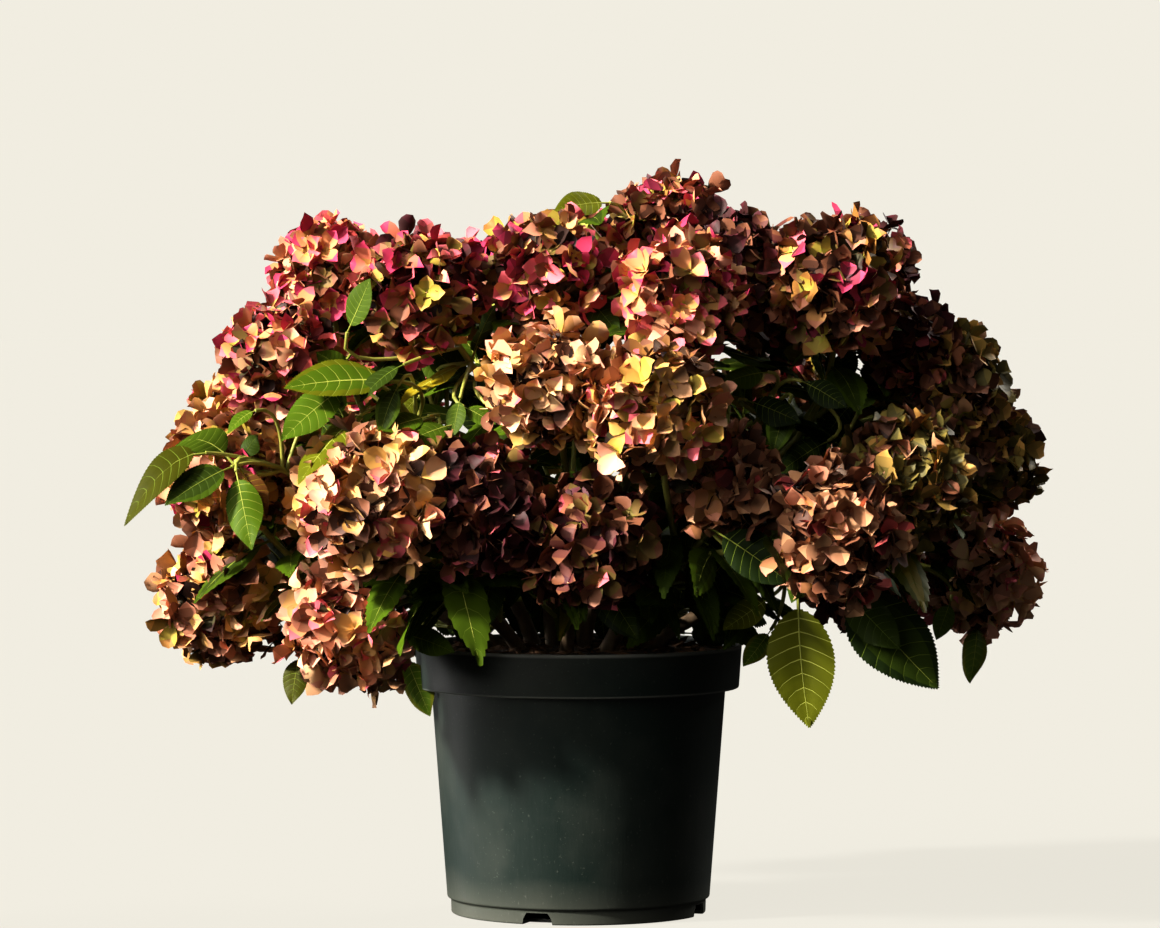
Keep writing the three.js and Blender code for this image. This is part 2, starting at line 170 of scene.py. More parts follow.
STEMS += [
    {
        "foot": (28, 64),
        "blooms": [ring_bloom("low", 0), ring_bloom("middle", 0), ring_bloom("middle", 1)],
        "leafy": [],
    },
    {
        "foot": (86, 66),
        "blooms": [ring_bloom("low", 1), ring_bloom("low", 2), ring_bloom("middle", 2)],
        "leafy": [{"end": (10, 182, 340), "start": 0.6, "size": 1.05, "facing": (88, -12)}],
    },
    {
        "foot": (146, 66),
        "blooms": [ring_bloom("low", 3), ring_bloom("middle", 4), ring_bloom("middle", 3)],
        "leafy": [],
    },
    {
        "foot": (80, 26),
        "blooms": [ring_bloom("high", 0), ring_bloom("high", 1), ring_bloom("high", 2), CROWN_MIDDLE],
        "leafy": [],
    },
]

SOIL_TOP = 226
STEM = {"foot": 6.5, "tip": 4.0, "flare": 1.45, "flare_share": 0.14, "below": 12}
STEM_LEAN = {"across": 0.3, "up": 0.62}  # where a stem's bend lies between its foot and its tip
FORK_SHARE = 0.56  # how far a stem reaches towards the middle of its blooms
FORK_STEP = 0.075  # share of the stem between one shoot's fork and the next
SHOOT = {"foot": 3.1, "tip": 2.3, "bend": 0.42}
BOWS = {"sizes": (0, 14, 28, 42, 60), "ways": 8, "room": 5}  # tried in turn until a stalk runs clear
INNER_POINTS = slice(8, -6, 3)  # where a stalk is tested, away from its fork and its own bloom
GROOVE = 0.77  # a bloom's stalk ends under its florets, at this share of its radius

LEAF = {"length": 104, "spread": 1.05, "sunk": 2, "droop": 0.3}
FLOWERING_PAIRS = ((0.3, 0.8), (0.52, 0.95), (0.74, 1.0), (0.93, 0.8))  # share of the stalk, leaf size
FLOWERING_SIZES = (0.72, 0.95)
LEAFY_PAIRS = ((0.4, 1.0), (0.62, 1.0), (0.82, 1.0), (1.0, 1.0))

TWIGS = {
    "count": 4,
    "tries": 60,
    "forks": (0.45, 0.95),
    "aim": {"rise": (-30, 80), "share": (0.45, 1.0)},
    "length": (60, 230),
    "drop": 40,
    "front": -90,
    "apart": 70,
    "room": 4,
    "up": 0.3,
    "sizes": (0.7, 1.0),
}
# What makes one gap better than another: room round the twig's end and distance from other ends, each
# counted up to a limit, and distance from the crown's middle.
GAP_SCORE = {"room_limit": 40, "apart": 0.12, "apart_limit": 150, "outward": 0.1}
SKIRT = {"count": 2, "forks": (0.26, 0.5), "length": (45, 90), "rise": (-5, 30), "turn": 55, "size": 0.9}
SKIRT_PAIRS = ((0.55, 0.9), (1.0, 1.0))
TWIG_PAIRS = ((0.45, 0.9), (0.72, 1.0), (1.0, 0.85))
# Single leaves on stalks of their own: where the blade's foot and tip are, the share of its length by which
# it sags, the bearing and rise that its upper face looks to, and its mood. The sunny and lit moods are
# painted light, and the shade and dark moods painted shade.
LONE_LEAVES = [
    # left shoot
    ((-306, -176, 400), (-374, -205, 345), 0.8, (252, 42), "olive"),
    ((-285, -160, 390), (-336, -160, 404), 0.6, (205, 60), "lit"),
    ((-285, -175, 389), (-336, -212, 355), 0.25, (300, 55), "lit"),
    ((-283, -178, 386), (-270, -212, 321), 0.3, (262, 12), "lit"),
    ((-281, -150, 392), (-265, -160, 413), 0.2, (260, 30), "shade"),
    ((-266, -160, 435), (-291, -175, 417), 0.35, (240, 40), "lit"),
    ((-281, -172, 388), (-256, -180, 347), 0.15, (262, 12), "withered"),
    # hollow
    ((-144, -190, 459), (-241, -222, 456), 0.12, (250, 52), "sunny"),
    ((-188, -150, 461), (-216, -160, 484), 0.1, (255, 30), "shade"),
    ((-188, -192, 457), (-241, -228, 410), 0.25, (255, 32), "lit"),
    ((-147, -204, 458), (-165, -216, 417), 0.2, (262, 12), "lit"),
    ((-142, -198, 474), (-181, -218, 444), 0.3, (235, 50), "shade"),
    ((-170, -190, 437), (-230, -242, 377), 0.35, (232, 52), "sunny"),
    ((-122, -192, 431), (-163, -220, 418), 0.1, (262, 48), "lit"),
    ((-102, -196, 424), (-142, -226, 411), 0.1, (265, 46), "lit"),
    ((-114, -200, 421), (-119, -228, 392), 0.1, (265, 12), "sunny"),
    ((-97, -188, 447), (-104, -202, 414), 0.1, (250, 10), "shade"),
    ((-96, -186, 439), (-69, -200, 423), 0.15, (270, 35), "lit"),
    ((-78, -180, 442), (-51, -200, 409), 0.2, (268, 25), "shade"),
    ((-91, -110, 454), (-124, -125, 488), 0.1, (262, 20), "shade"),
    ((-84, -90, 465), (-66, -100, 500), 0.1, (262, 15), "dark"),
    ((-116, -120, 465), (-85, -135, 444), 0.1, (262, 15), "dark"),
    ((-135, -100, 482), (-106, -115, 452), 0.15, (262, 20), "shade"),
    ((-77, -110, 408), (-98, -110, 445), 0.1, (262, 10), "dark"),
    ((-62, -80, 428), (-85, -80, 464), 0.1, (262, 10), "shade"),
    ((-195, -120, 425), (-214, -125, 459), 0.1, (262, 15), "shade"),
    ((-216, -130, 425), (-194, -140, 397), 0.1, (262, 20), "shade"),
    ((-132, -120, 446), (-153, -130, 425), 0.1, (262, 15), "sunny"),
    # rim
    ((-32, -120, 312), (-42, -130, 264), 0.1, (262, 10), "dark"),
    ((37, -90, 307), (18, -95, 255), 0.1, (262, 10), "dark"),
    ((102, -100, 307), (115, -110, 257), 0.1, (262, 10), "shade"),
    ((-49, -60, 305), (-61, -65, 266), 0.1, (262, 10), "lit"),
    ((52, -60, 318), (76, -60, 271), 0.1, (262, 10), "shade"),
    ((95, -20, 306), (83, -20, 258), 0.1, (262, 10), "lit"),
    ((18, -40, 314), (-3, -40, 270), 0.1, (262, 10), "shade"),
    ((-26, 0, 312), (-16, 0, 267), 0.1, (262, 10), "lit"),
    ((-99, -40, 311), (-117, -50, 270), 0.1, (262, 10), "lit"),
    ((-67, -150, 308), (-85, -172, 251), 0.15, (262, 10), "shade"),
    ((10, -160, 307), (47, -176, 244), 0.1, (265, 8), "dark"),
    ((-151, -168, 251), (-102, -178, 236), 0.1, (262, 40), "shade"),
    ((-149, -30, 225), (-128, -36, 170), 0.1, (245, 12), "sunny"),
    ((-109, -150, 313), (-131, -164, 263), 0.15, (258, 12), "shade"),
    ((-88, -100, 310), (-98, -110, 279), 0.1, (255, 15), "sunny"),
    ((-5, -158, 284), (5, -166, 259), 0.1, (262, 15), "lit"),
    ((62, -110, 294), (56, -120, 252), 0.1, (262, 10), "lit"),
    ((72, -100, 287), (79, -105, 255), 0.1, (265, 10), "turning"),
    ((81, -140, 384), (63, -160, 326), 0.15, (262, 15), "shade"),
    ((134, -140, 322), (92, -165, 268), 0.15, (265, 15), "dark"),
    ((119, -150, 360), (135, -165, 314), 0.15, (265, 15), "dark"),
    ((19, 60, 279), (21, 60, 227), 0.1, (262, 10), "dark"),
    ((107, 40, 275), (104, 40, 230), 0.1, (262, 10), "shade"),
    ((-102, 30, 267), (-99, 30, 229), 0.1, (262, 10), "dark"),
    ((123, 20, 279), (128, 20, 234), 0.1, (262, 10), "dark"),
    ((47, 80, 271), (41, 80, 228), 0.1, (262, 10), "shade"),
    ((211, -100, 408), (167, -105, 381), 0.1, (262, 20), "dark"),
    ((36, -100, 502), (5, -105, 483), 0.1, (262, 20), "dark"),
    ((-49, -60, 464), (-76, -70, 483), 0.1, (262, 20), "dark"),
    # behind the rim
    ((90, 50, 236), (136, 38, 233), 0.05, (262, 30), "dark"),
    ((-102, 90, 285), (-112, 95, 230), 0.1, (262, 10), "dark"),
    ((-75, 95, 290), (-83, 100, 228), 0.1, (262, 10), "shade"),
    ((-50, 95, 288), (-54, 100, 228), 0.1, (262, 10), "dark"),
    ((-28, 95, 290), (-32, 100, 228), 0.1, (262, 10), "shade"),
    ((3, 95, 288), (-3, 100, 228), 0.1, (262, 10), "dark"),
    # hollow right, deep inside
    ((240, -30, 484), (212, -45, 452), 0.1, (262, 15), "dark"),
    ((206, -30, 478), (234, -45, 450), 0.1, (262, 15), "dark"),
    ((236, -30, 440), (208, -45, 410), 0.1, (262, 15), "dark"),
    ((200, -20, 432), (228, -35, 402), 0.1, (262, 15), "dark"),
    # right
    ((181, -190, 290), (182, -206, 175), 0.08, (266, 5), "yellowing"),
    ((213, -186, 300), (289, -204, 202), 0.04, (285, 12), "dark"),
    ((214, -194, 290), (262, -210, 238), 0.1, (272, 14), "shade"),
    ((341, -20, 253), (337, -28, 198), 0.08, (228, 10), "sunny"),
    ((161, -150, 280), (122, -168, 250), 0.1, (262, 30), "yellowing"),
    ((162, -118, 251), (140, -126, 218), 0.1, (258, 15), "sunny"),
    ((192, -196, 319), (174, -206, 278), 0.1, (250, 12), "lit"),
    ((316, -55, 272), (304, -62, 237), 0.1, (268, 10), "shade"),
    ((108, -224, 340), (172, -250, 294), 0.12, (262, 28), "dark"),
    # hollow right
    ((159, -150, 466), (119, -175, 458), 0.15, (262, 40), "shade"),
    ((138, -150, 443), (183, -170, 423), 0.15, (268, 30), "dark"),
    ((184, -145, 459), (221, -165, 435), 0.2, (268, 30), "dark"),
    ((176, -150, 443), (158, -170, 400), 0.15, (262, 15), "shade"),
    # top and left
    ((28, -60, 607), (-22, -85, 602), 0.12, (265, 42), "sunny"),
    ((-191, -192, 498), (-170, -205, 543), 0, (240, 22), "lit"),
    ((0, -158, 534), (35, -178, 498), 0.12, (268, 25), "shade"),
    ((-232, -140, 233), (-240, -152, 190), 0.1, (255, 12), "olive"),
]
CROWN = {"middle": (15, 0, 400), "reach": (330, 265, 185)}  # leaves' twigs end inside this ellipsoid
# Leaves' tips stay above these heights: over the pot, beside it, and low at its far side.
RIM_CLEAR = {"across": 168, "over": 246, "beside": 256, "behind": 40, "low": 222}
# No leaf hangs in front of the middle blooms.
FRONT_CLEAR = {"across": (-60, 90), "up": (320, 430), "before": -190}
# along: the shares of a leaf's length where it is tested. own, other: how near it may come to a bloom's
# middle, as a share of the bloom's radius. past_box: how far its tip may pass the solids' box.
LEAF_ROOM = {"along": (0.55, 0.8, 1.0), "own": 0.66, "other": 0.78, "past_box": 4}
SHRINKS = (1.0, 0.8, 0.62)  # a leaf without room stays smaller

SEEDS = {
    "chips": 5,
    "chip_places": 3,
    "chip_sizes": 7.0,
    "twigs": 8,
    "skirt": 4,
    "leaves": 21,
    "blooms": 77,
    "floret_sway": 11,
}


# ---- lines that stems and stalks follow ----


class Limb:
    """A curved line from start to end, drawn towards bend. Shares run along it by length, from 0 to 1."""

    STEPS = 40

    def __init__(self, start, bend, end):
        shares = [step / self.STEPS for step in range(self.STEPS + 1)]
        self.points = [start.lerp(bend, t).lerp(bend.lerp(end, t), t) for t in shares]
        self.lengths = [0.0]
        for first, second in zip(self.points, self.points[1:]):
            self.lengths.append(self.lengths[-1] + (second - first).length)
        self.length = self.lengths[-1]

    def _step(self, share):
        wanted = min(max(share, 0.0), 1.0) * self.length
        step = min(int(np.searchsorted(self.lengths, wanted, side="right")) - 1, self.STEPS - 1)
        span = self.lengths[step + 1] - self.lengths[step]
        return step, (wanted - self.lengths[step]) / span

    def at(self, share):
        step, part = self._step(share)
        return self.points[step].lerp(self.points[step + 1], part)

    def heading(self, share):
        step, _ = self._step(share)
        return (self.points[step + 1] - self.points[step]).normalized()


def towards(bearing, rise):
    """The unit vector of a bearing from +X and a rise above level, both in degrees."""
    turn = math.radians(bearing)
    lift = math.radians(rise)
    return Vector((math.cos(turn) * math.cos(lift), math.sin(turn) * math.cos(lift), math.sin(lift)))


def stray(rng, size):
    """A random shift of up to that size along each axis."""
    return Vector([rng.uniform(-size, size) for _ in range(3)])


def stem_limb(plan):
    """Up from the soil, then leaning out towards the middle of the stem's blooms."""
    bearing, distance = plan["foot"]
    foot = towards(bearing, 0) * distance + UP * SOIL_TOP
    middle = sum((Vector(bloom[:3]) for bloom in plan["blooms"]), Vector()) / len(plan["blooms"])
    tip = foot.lerp(middle, FORK_SHARE)
    bend = foot.lerp(tip, STEM_LEAN["across"])
    bend.z = foot.z + (tip.z - foot.z) * STEM_LEAN["up"]
    below = foot + (foot - bend).normalized() * STEM["below"]
    return Limb(below, bend, tip)


def stem_radius(share):
    flare = max(0.0, 1 - share / STEM["flare_share"]) ** 2 * (STEM["flare"] - 1)
    return (STEM["foot"] + (STEM["tip"] - STEM["foot"]) * share) * (1 + flare)


def shoot_limb(stem, shoot, size, way):
    """From its fork on the stem to the shoot's end, bowed out by size the given way round."""
    start = stem.at(shoot["start"])
    end = shoot["end"]
    reach = (end - start).length
    line = (end - start).normalized()
    side = Quaternion(line, way) @ line.cross(UP).normalized()
    if shoot["facing"]:
        bend = end - shoot["facing"] * reach * SHOOT["bend"]
    else:
        bend = start + stem.heading(shoot["start"]) * reach * SHOOT["bend"]
    return Limb(start, bend + side * size, end)


def runs_clear(limb, shoot, blooms, lines):
    """True if a stalk stays out of the other blooms and off the stems and stalks already there."""
    inner = limb.points[INNER_POINTS]
    for bloom in blooms:
        if bloom is not shoot and any((p - bloom["end"]).length < bloom["radius"] for p in inner):
            return False
    return all((p - q).length > BOWS["room"] for other in lines for q in other.points[::3] for p in inner)


def clear_limb(shoot, blooms, lines):
    """The least bow that lets a stalk run clear, or else the straight one."""
    straight = shoot_limb(shoot["stem"], shoot, 0, 0)
    for size in BOWS["sizes"]:
        for way in range(BOWS["ways"] if size else 1):
            limb = shoot_limb(shoot["stem"], shoot, size, way * 2 * math.pi / BOWS["ways"])
            if runs_clear(limb, shoot, blooms, lines):
                return limb
    return straight


def plan_shrub():
    """The stems' lines, the flowering shoots and the leafy shoots, each with the line of its stalk."""
    stems = [stem_limb(plan) for plan in STEMS]
    flowering = []
    leafy = []
    for stem, plan in zip(stems, STEMS):
        for order, (x, y, z, radius, colouring) in enumerate(plan["blooms"]):
            shoot = {"stem": stem, "start": 1 - order * FORK_STEP, "end": Vector((x, y, z)), "facing": None}
            flowering.append({**shoot, "radius": radius, "colouring": colouring})
        for shoot in plan["leafy"]:
            facing = towards(*shoot["facing"])
            leafy.append({**shoot, "stem": stem, "end": Vector(shoot["end"]), "facing": facing})
    lines = []
    for shoot in flowering + leafy:
        others = [stem for stem in stems if stem is not shoot["stem"]]
        shoot["limb"] = clear_limb(shoot, flowering, lines + others)
        lines.append(shoot["limb"])
    return stems, flowering, leafy


# ---- node trees ----


def pick_socket(sockets, key):
    """A socket by place, or the first one in use that has the name."""
    if isinstance(key, int):
        return sockets[key]
    return next(socket for socket in sockets if socket.name == key and socket.enabled)


class Wire:
    """An output socket in a node tree. Arithmetic on wires and numbers adds Math nodes."""

    def __init__(self, plan, socket):
        self.plan = plan
        self.socket = socket

    def math(self, operation, first, second):
        return self.plan.node("ShaderNodeMath", {"operation": operation}, {0: first, 1: second})

    def __add__(self, other):
        return self.math("ADD", self, other)

    def __radd__(self, other):
        return self.math("ADD", other, self)

    def __sub__(self, other):
        return self.math("SUBTRACT", self, other)

    def __rsub__(self, other):
        return self.math("SUBTRACT", other, self)

    def __mul__(self, other):
        return self.math("MULTIPLY", self, other)

    def __rmul__(self, other):
        return self.math("MULTIPLY", other, self)

    def __pow__(self, other):
        return self.math("POWER", self, other)


class Plan:
    """A node tree that is being built."""

    def __init__(self, tree):
        self.tree = tree

    def feed(self, socket, value):
        if isinstance(value, Wire):
            self.tree.links.new(value.socket, socket)
        else:
            socket.default_value = value

    def node(self, kind, settings=None, inputs=None, output=0):
        """Adds a node, sets it, feeds its sockets by name or place, and returns one of its outputs."""
        new = self.tree.nodes.new(kind)
        for key, value in (settings or {}).items():
            if key == "stops":
                set_stops(new.color_ramp, value)
            else:
                setattr(new, key, value)
        for key, value in (inputs or {}).items():
            self.feed(pick_socket(new.inputs, key), value)
        return Wire(self, pick_socket(new.outputs, output))

    def attribute(self, name, data_type):
        return self.node("GeometryNodeInputNamedAttribute", {"data_type": data_type}, {"Name": name})


def set_stops(ramp, stops):
    """Gives a colour ramp its (place, grey or colour) stops."""
    while len(ramp.elements) < len(stops):
        ramp.elements.new(1.0)
    for element, (place, shade) in zip(ramp.elements, stops):
        element.position = place
        element.color = (shade, shade, shade, 1) if isinstance(shade, float) else shade


def linear(code):
    """A colour from its three hexadecimal bytes, as linear values with full alpha."""
    parts = [int(code[i : i + 2], 16) / 255 for i in (0, 2, 4)]
    return (*[((p + 0.055) / 1.055) ** 2.4 if p > 0.04045 else p / 12.92 for p in parts], 1.0)


def mixed(first, second, share):
    return tuple(a + (b - a) * share for a, b in zip(first, second))


class Finish(Plan):
    """A material on one Principled shader."""

    def __init__(self, name, **values):
        self.material = bpy.data.materials.new(name)
        self.material.use_nodes = True
        super().__init__(self.material.node_tree)
        self.shader = self.tree.nodes["Principled BSDF"]
        for socket, value in values.items():
            self.set(socket.replace("_", " "), value)

    def set(self, socket, value):
        self.feed(self.shader.inputs[socket], value)

    def place(self, stretch=(1, 1, 1)):
        """The point's own coordinates, stretched along each axis."""
        spot = self.node("ShaderNodeTexCoord", output="Object")
        return self.node("ShaderNodeMapping", None, {"Vector": spot, "Scale": stretch})

    def noise(self, scale, detail=4.0, stretch=(1, 1, 1), roughness=0.55):
        sizes = {"Vector": self.place(stretch), "Scale": scale, "Detail": detail, "Roughness": roughness}
        return self.node("ShaderNodeTexNoise", None, sizes, "Fac")

    def ramp(self, factor, *stops):
        return self.node("ShaderNodeValToRGB", {"stops": stops}, {"Fac": factor})

    def blend(self, factor, first, second):
        return self.node(
            "ShaderNodeMix", {"data_type": "RGBA"}, {"Factor": factor, "A": first, "B": second}, "Result"
        )

    def bump(self, height, strength, distance):
        sizes = {"Height": height, "Strength": strength, "Distance": distance}
        self.set("Normal", self.node("ShaderNodeBump", None, sizes))


# ---- pieces ----


def piece_from(name, mesh):
    piece = bpy.data.objects.new(name, mesh)
    bpy.context.scene.collection.objects.link(piece)
    return piece


def mesh_from(name, points, faces, edges=()):
    mesh = bpy.data.meshes.new(name)
    mesh.from_pydata([tuple(p) for p in points], list(edges), [tuple(f) for f in faces])
    mesh.update()
    return mesh


POINT_KINDS = {"turn": "FLOAT_VECTOR", **dict.fromkeys(("size", "droop", "thick", "along"), "FLOAT")}


def write_points(mesh, **attributes):
    """Stores values for each point. A name that isn't in POINT_KINDS holds whole numbers."""
    for name, values in attributes.items():
        kind = POINT_KINDS.get(name, "INT")
        key = "vector" if kind == "FLOAT_VECTOR" else "value"
        stored = mesh.attributes.new(name, kind, "POINT")
        stored.data.foreach_set(key, np.array(values, int if kind == "INT" else float).ravel())


def write_faces(mesh, **attributes):
    """Stores a whole number for each face."""
    for name, values in attributes.items():
        mesh.attributes.new(name, "INT", "FACE").data.foreach_set("value", np.array(values, int))


def smoothed(mesh):
    mesh.polygons.foreach_set("use_smooth", [True] * len(mesh.polygons))
    return mesh


def read_on_faces(mesh, name):
    """A whole-number attribute's value on each face, also where it is kept on the points."""
    attribute = mesh.attributes[name]
    values = np.zeros(len(attribute.data), np.int32)
    attribute.data.foreach_get("value", values)
    if attribute.domain == "FACE":
        return values
    starts = np.zeros(len(mesh.polygons), np.int32)
    mesh.polygons.foreach_get("loop_start", starts)
    corners = np.zeros(len(mesh.loops), np.int32)
    mesh.loops.foreach_get("vertex_index", corners)
    return values[corners[starts]]


def drop_attributes(mesh, *names):
    for name in names:
        mesh.attributes.remove(mesh.attributes[name])


SOCKET_TYPES = {
    bpy.types.Collection: "NodeSocketCollection",
    bpy.types.Material: "NodeSocketMaterial",
    float: "NodeSocketFloat",
    int: "NodeSocketInt",
}


def socket_type(value):
    return next(kind for family, kind in SOCKET_TYPES.items() if isinstance(value, family))


def grow(name, carrier, rule, inputs):
    """Makes a piece by Geometry Nodes from a carrier mesh.

    rule adds the nodes from the carrier to the shape. inputs gives each named input's value, with the
    material as "Finish".
    """
    group = bpy.data.node_groups.new(f"{name}_rule", "GeometryNodeTree")
    face = group.interface
    face.new_socket("Carrier", in_out="INPUT", socket_type="NodeSocketGeometry")
    keys = {
        label: face.new_socket(label, in_out="INPUT", socket_type=socket_type(value)).identifier
        for label, value in inputs.items()
    }
    face.new_socket("Shape", in_out="OUTPUT", socket_type="NodeSocketGeometry")
    plan = Plan(group)
    entry = group.nodes.new("NodeGroupInput")
    given = {socket.name: Wire(plan, socket) for socket in entry.outputs if socket.name}
    plain = plan.node("GeometryNodeRealizeInstances", None, {"Geometry": rule(plan, given)})
    dressed = {"Geometry": plain, "Material": given["Finish"]}
    plan.feed(
        group.nodes.new("NodeGroupOutput").inputs["Shape"],
        plan.node("GeometryNodeSetMaterial", None, dressed),
    )
    holder = piece_from(f"{name}_carrier", carrier)
    modifier = holder.modifiers.new(name, "NODES")
    modifier.node_group = group
    for label, value in inputs.items():
        modifier[keys[label]] = value
    mesh = bpy.data.meshes.new_from_object(holder.evaluated_get(bpy.context.evaluated_depsgraph_get()))
    bpy.data.objects.remove(holder)
    mesh.name = name
    return piece_from(name, mesh)


def shelf_of(name, meshes):
    """A collection of shapes to scatter, kept out of the scene."""
    shelf = bpy.data.collections.new(name)
    for index, mesh in enumerate(meshes):
        shelf.objects.link(bpy.data.objects.new(f"{name}_{index:02d}", mesh))
    return shelf


def scattered(plan, given, points, placing):
    """One of the shelf's shapes on every point, placed by the Instance on Points node's own sockets."""
    shelf = {"Collection": given["Shapes"], "Separate Children": True, "Reset Children": True}
    shapes = plan.node("GeometryNodeCollectionInfo", None, shelf)
    placed = {"Points": points, "Instance": shapes, "Pick Instance": True, **placing}
    return plan.node("GeometryNodeInstanceOnPoints", None, placed)


def finish_piece(piece, nodes=()):
    """Says which body a piece rides on and which solids it stands for, and hides those solids."""
    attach(piece, BODY)
    if nodes:
        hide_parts(*nodes)


def numbered(word, count):
    return [f"{word}_{index + 1:02d}" for index in range(count)]


# ---- camera and light ----

EYE = Vector((0.0, -5.0, 0.573))
AIM = Vector((0.0013, 0.0, 0.384))
VIEW_WIDTH = 0.993  # metres across at the pot's axis
SENSOR = 36
CLIP = (0.05, 200)
FLOOR_SIZE = 30

SUNS = {
    "key": {"bearing": 205, "rise": 30, "power": 11.0, "angle": 6, "colour": (1.0, 0.95, 0.88)},
    "halo": {"bearing": 218, "rise": 28, "power": 3.1, "angle": 50, "colour": (1.0, 0.95, 0.88)},
    "low": {"bearing": 157, "rise": 1.5, "power": 1.8, "angle": 10, "colour": (1.0, 0.98, 0.94)},
    "fill": {"bearing": 292, "rise": 22, "power": 0.13, "angle": 60, "colour": (1.0, 0.96, 0.9)},
    "back": {"bearing": 48, "rise": 34, "power": 3.2, "angle": 25, "colour": (1.0, 0.96, 0.9)},
}
CONTRAST = 0.86  # the view's gamma, which deepens the shade like a hard studio light
BACKDROP = (*[part**CONTRAST for part in linear("F1EDE1")[:3]], 1.0)
SHADOW_FADE = 0.9  # how much of the floor's shadow the camera doesn't see
AMBIENT = 0.03


def make_camera():
    data = bpy.data.cameras.new("camera")
    camera = bpy.data.objects.new("camera", data)
    bpy.context.scene.collection.objects.link(camera)
    camera.location = EYE
    camera.rotation_euler = (AIM - EYE).to_track_quat("-Z", "Y").to_euler()
    data.sensor_width = SENSOR
    data.lens = data.sensor_width * (AIM - EYE).length / VIEW_WIDTH
    data.clip_start, data.clip_end = CLIP
    bpy.context.scene.camera = camera


def make_sun(name, plan):
    data = bpy.data.lights.new(name, "SUN")
    data.energy = plan["power"]
    data.angle = math.radians(plan["angle"])
    data.color = plan["colour"]
    sun = bpy.data.objects.new(name, data)
    bpy.context.scene.collection.objects.link(sun)
    sun.rotation_euler = towards(plan["bearing"], plan["rise"]).to_track_quat("Z", "Y").to_euler()


def floor_tint():
    """The colour at which the lit floor comes out like the backdrop."""
    falls = [(sun["power"] * math.sin(math.radians(sun["rise"])), sun["colour"]) for sun in SUNS.values()]
    parts = []
    for channel, pale in enumerate(BACKDROP[:3]):
        light = sum(power * colour[channel] for power, colour in falls)
        parts.append(pale / (light / math.pi + AMBIENT * pale))
    return (*parts, 1.0)


def make_surroundings():
    """A pale backdrop all round that gives little light of its own, and a pale floor."""
    world = bpy.data.worlds.new("studio")
    world.use_nodes = True
    bpy.context.scene.world = world
    plan = Plan(world.node_tree)
    seen = plan.node("ShaderNodeLightPath", output="Is Camera Ray")
    shine = world.node_tree.nodes["Background"]
    shine.inputs["Color"].default_value = BACKDROP
    plan.feed(shine.inputs["Strength"], seen * (1 - AMBIENT) + AMBIENT)
    size = FLOOR_SIZE
    corners = [(-size, -size, 0), (size, -size, 0), (size, size, 0), (-size, size, 0)]
    floor = piece_from("floor", mesh_from("floor", corners, [(0, 1, 2, 3)]))
    pale = Finish("pale_floor", Base_Color=floor_tint(), Roughness=0.9)
    pale.set("Specular IOR Level", 0.0)
    glow = pale.node("ShaderNodeEmission", None, {"Color": BACKDROP}, "Emission")
    share = pale.node("ShaderNodeLightPath", output="Is Camera Ray") * SHADOW_FADE
    lit = Wire(pale, pale.shader.outputs["BSDF"])
    surface = pale.node("ShaderNodeMixShader", None, {0: share, 1: lit, 2: glow})
    pale.feed(pale.tree.nodes["Material Output"].inputs["Surface"], surface)
    floor.data.materials.append(pale.material)
    floor.visible_diffuse = False
    floor.visible_glossy = False
    view = bpy.context.scene.view_settings
    view.view_transform = "Standard"
    view.gamma = CONTRAST


# ---- pot ----

POT = {
    "height": 230,
    "rim": 140,
    "rim_foot": 137.5,
    "band": 37,
    "body_top": 126,
    "body_foot": 112.5,
    "foot": 109,
    "foot_height": 12,
    "foot_draft": 0.4,
    "foot_step": 1.5,
    "lip": (0.8, 1.5),
    "wall": 2.2,
    "floor": 3,
    "facets": 144,
    "round": 1.4,
    "sharp": 32,
}
DRAIN = {"count": 4, "bearing": -108.7, "reach": 20}
DRAIN_ARCH = [(-13.5, -1), (13.5, -1), (12.5, 5), (9.5, 10), (-9.5, 10), (-12.5, 5)]  # across, up


TRIM_LIMIT = 0.45  # the share of a side that the arc at one of its ends may take


def rounded(profile, radius, steps=4):
    """An outline with each inner corner turned into an arc of up to that radius."""
    smooth = [profile[0]]
    for before, corner, after in zip(profile, profile[1:], profile[2:]):
        back = before - corner
        on = after - corner
        trim = min(radius, back.length * TRIM_LIMIT, on.length * TRIM_LIMIT)
        start = corner + back.normalized() * trim
        end = corner + on.normalized() * trim
        for step in range(steps + 1):
            t = step / steps
            smooth.append(start.lerp(corner, t).lerp(corner.lerp(end, t), t))
    return smooth + [profile[-1]]


def pot_outline():
    """The pot's wall in section as (radius, height), from the middle of its underside to its floor."""
    top = POT["height"]
    ledge = top - POT["band"]
    wall = POT["wall"]
    body = POT["body_top"]
    step_top = POT["foot_height"] + POT["foot_step"]
    lip_in, lip_drop = POT["lip"]
    corners = [
        (0, 0),
        (POT["foot"], 0),
        (POT["foot"] + POT["foot_draft"], POT["foot_height"]),
        (POT["body_foot"], step_top),
        (body, ledge),
        (POT["rim_foot"], ledge),
        (POT["rim"], top - lip_drop),
        (POT["rim"] - lip_in, top),
        (POT["rim"] - wall, top),
        (POT["rim_foot"] - wall, ledge + wall),
        (body - wall, ledge + wall),
        (POT["body_foot"] - wall, step_top),
        (POT["foot"] - wall, POT["foot_height"]),
        (POT["foot"] - wall, POT["floor"]),
        (0, POT["floor"]),
    ]
    return rounded([Vector(corner) for corner in corners], POT["round"])


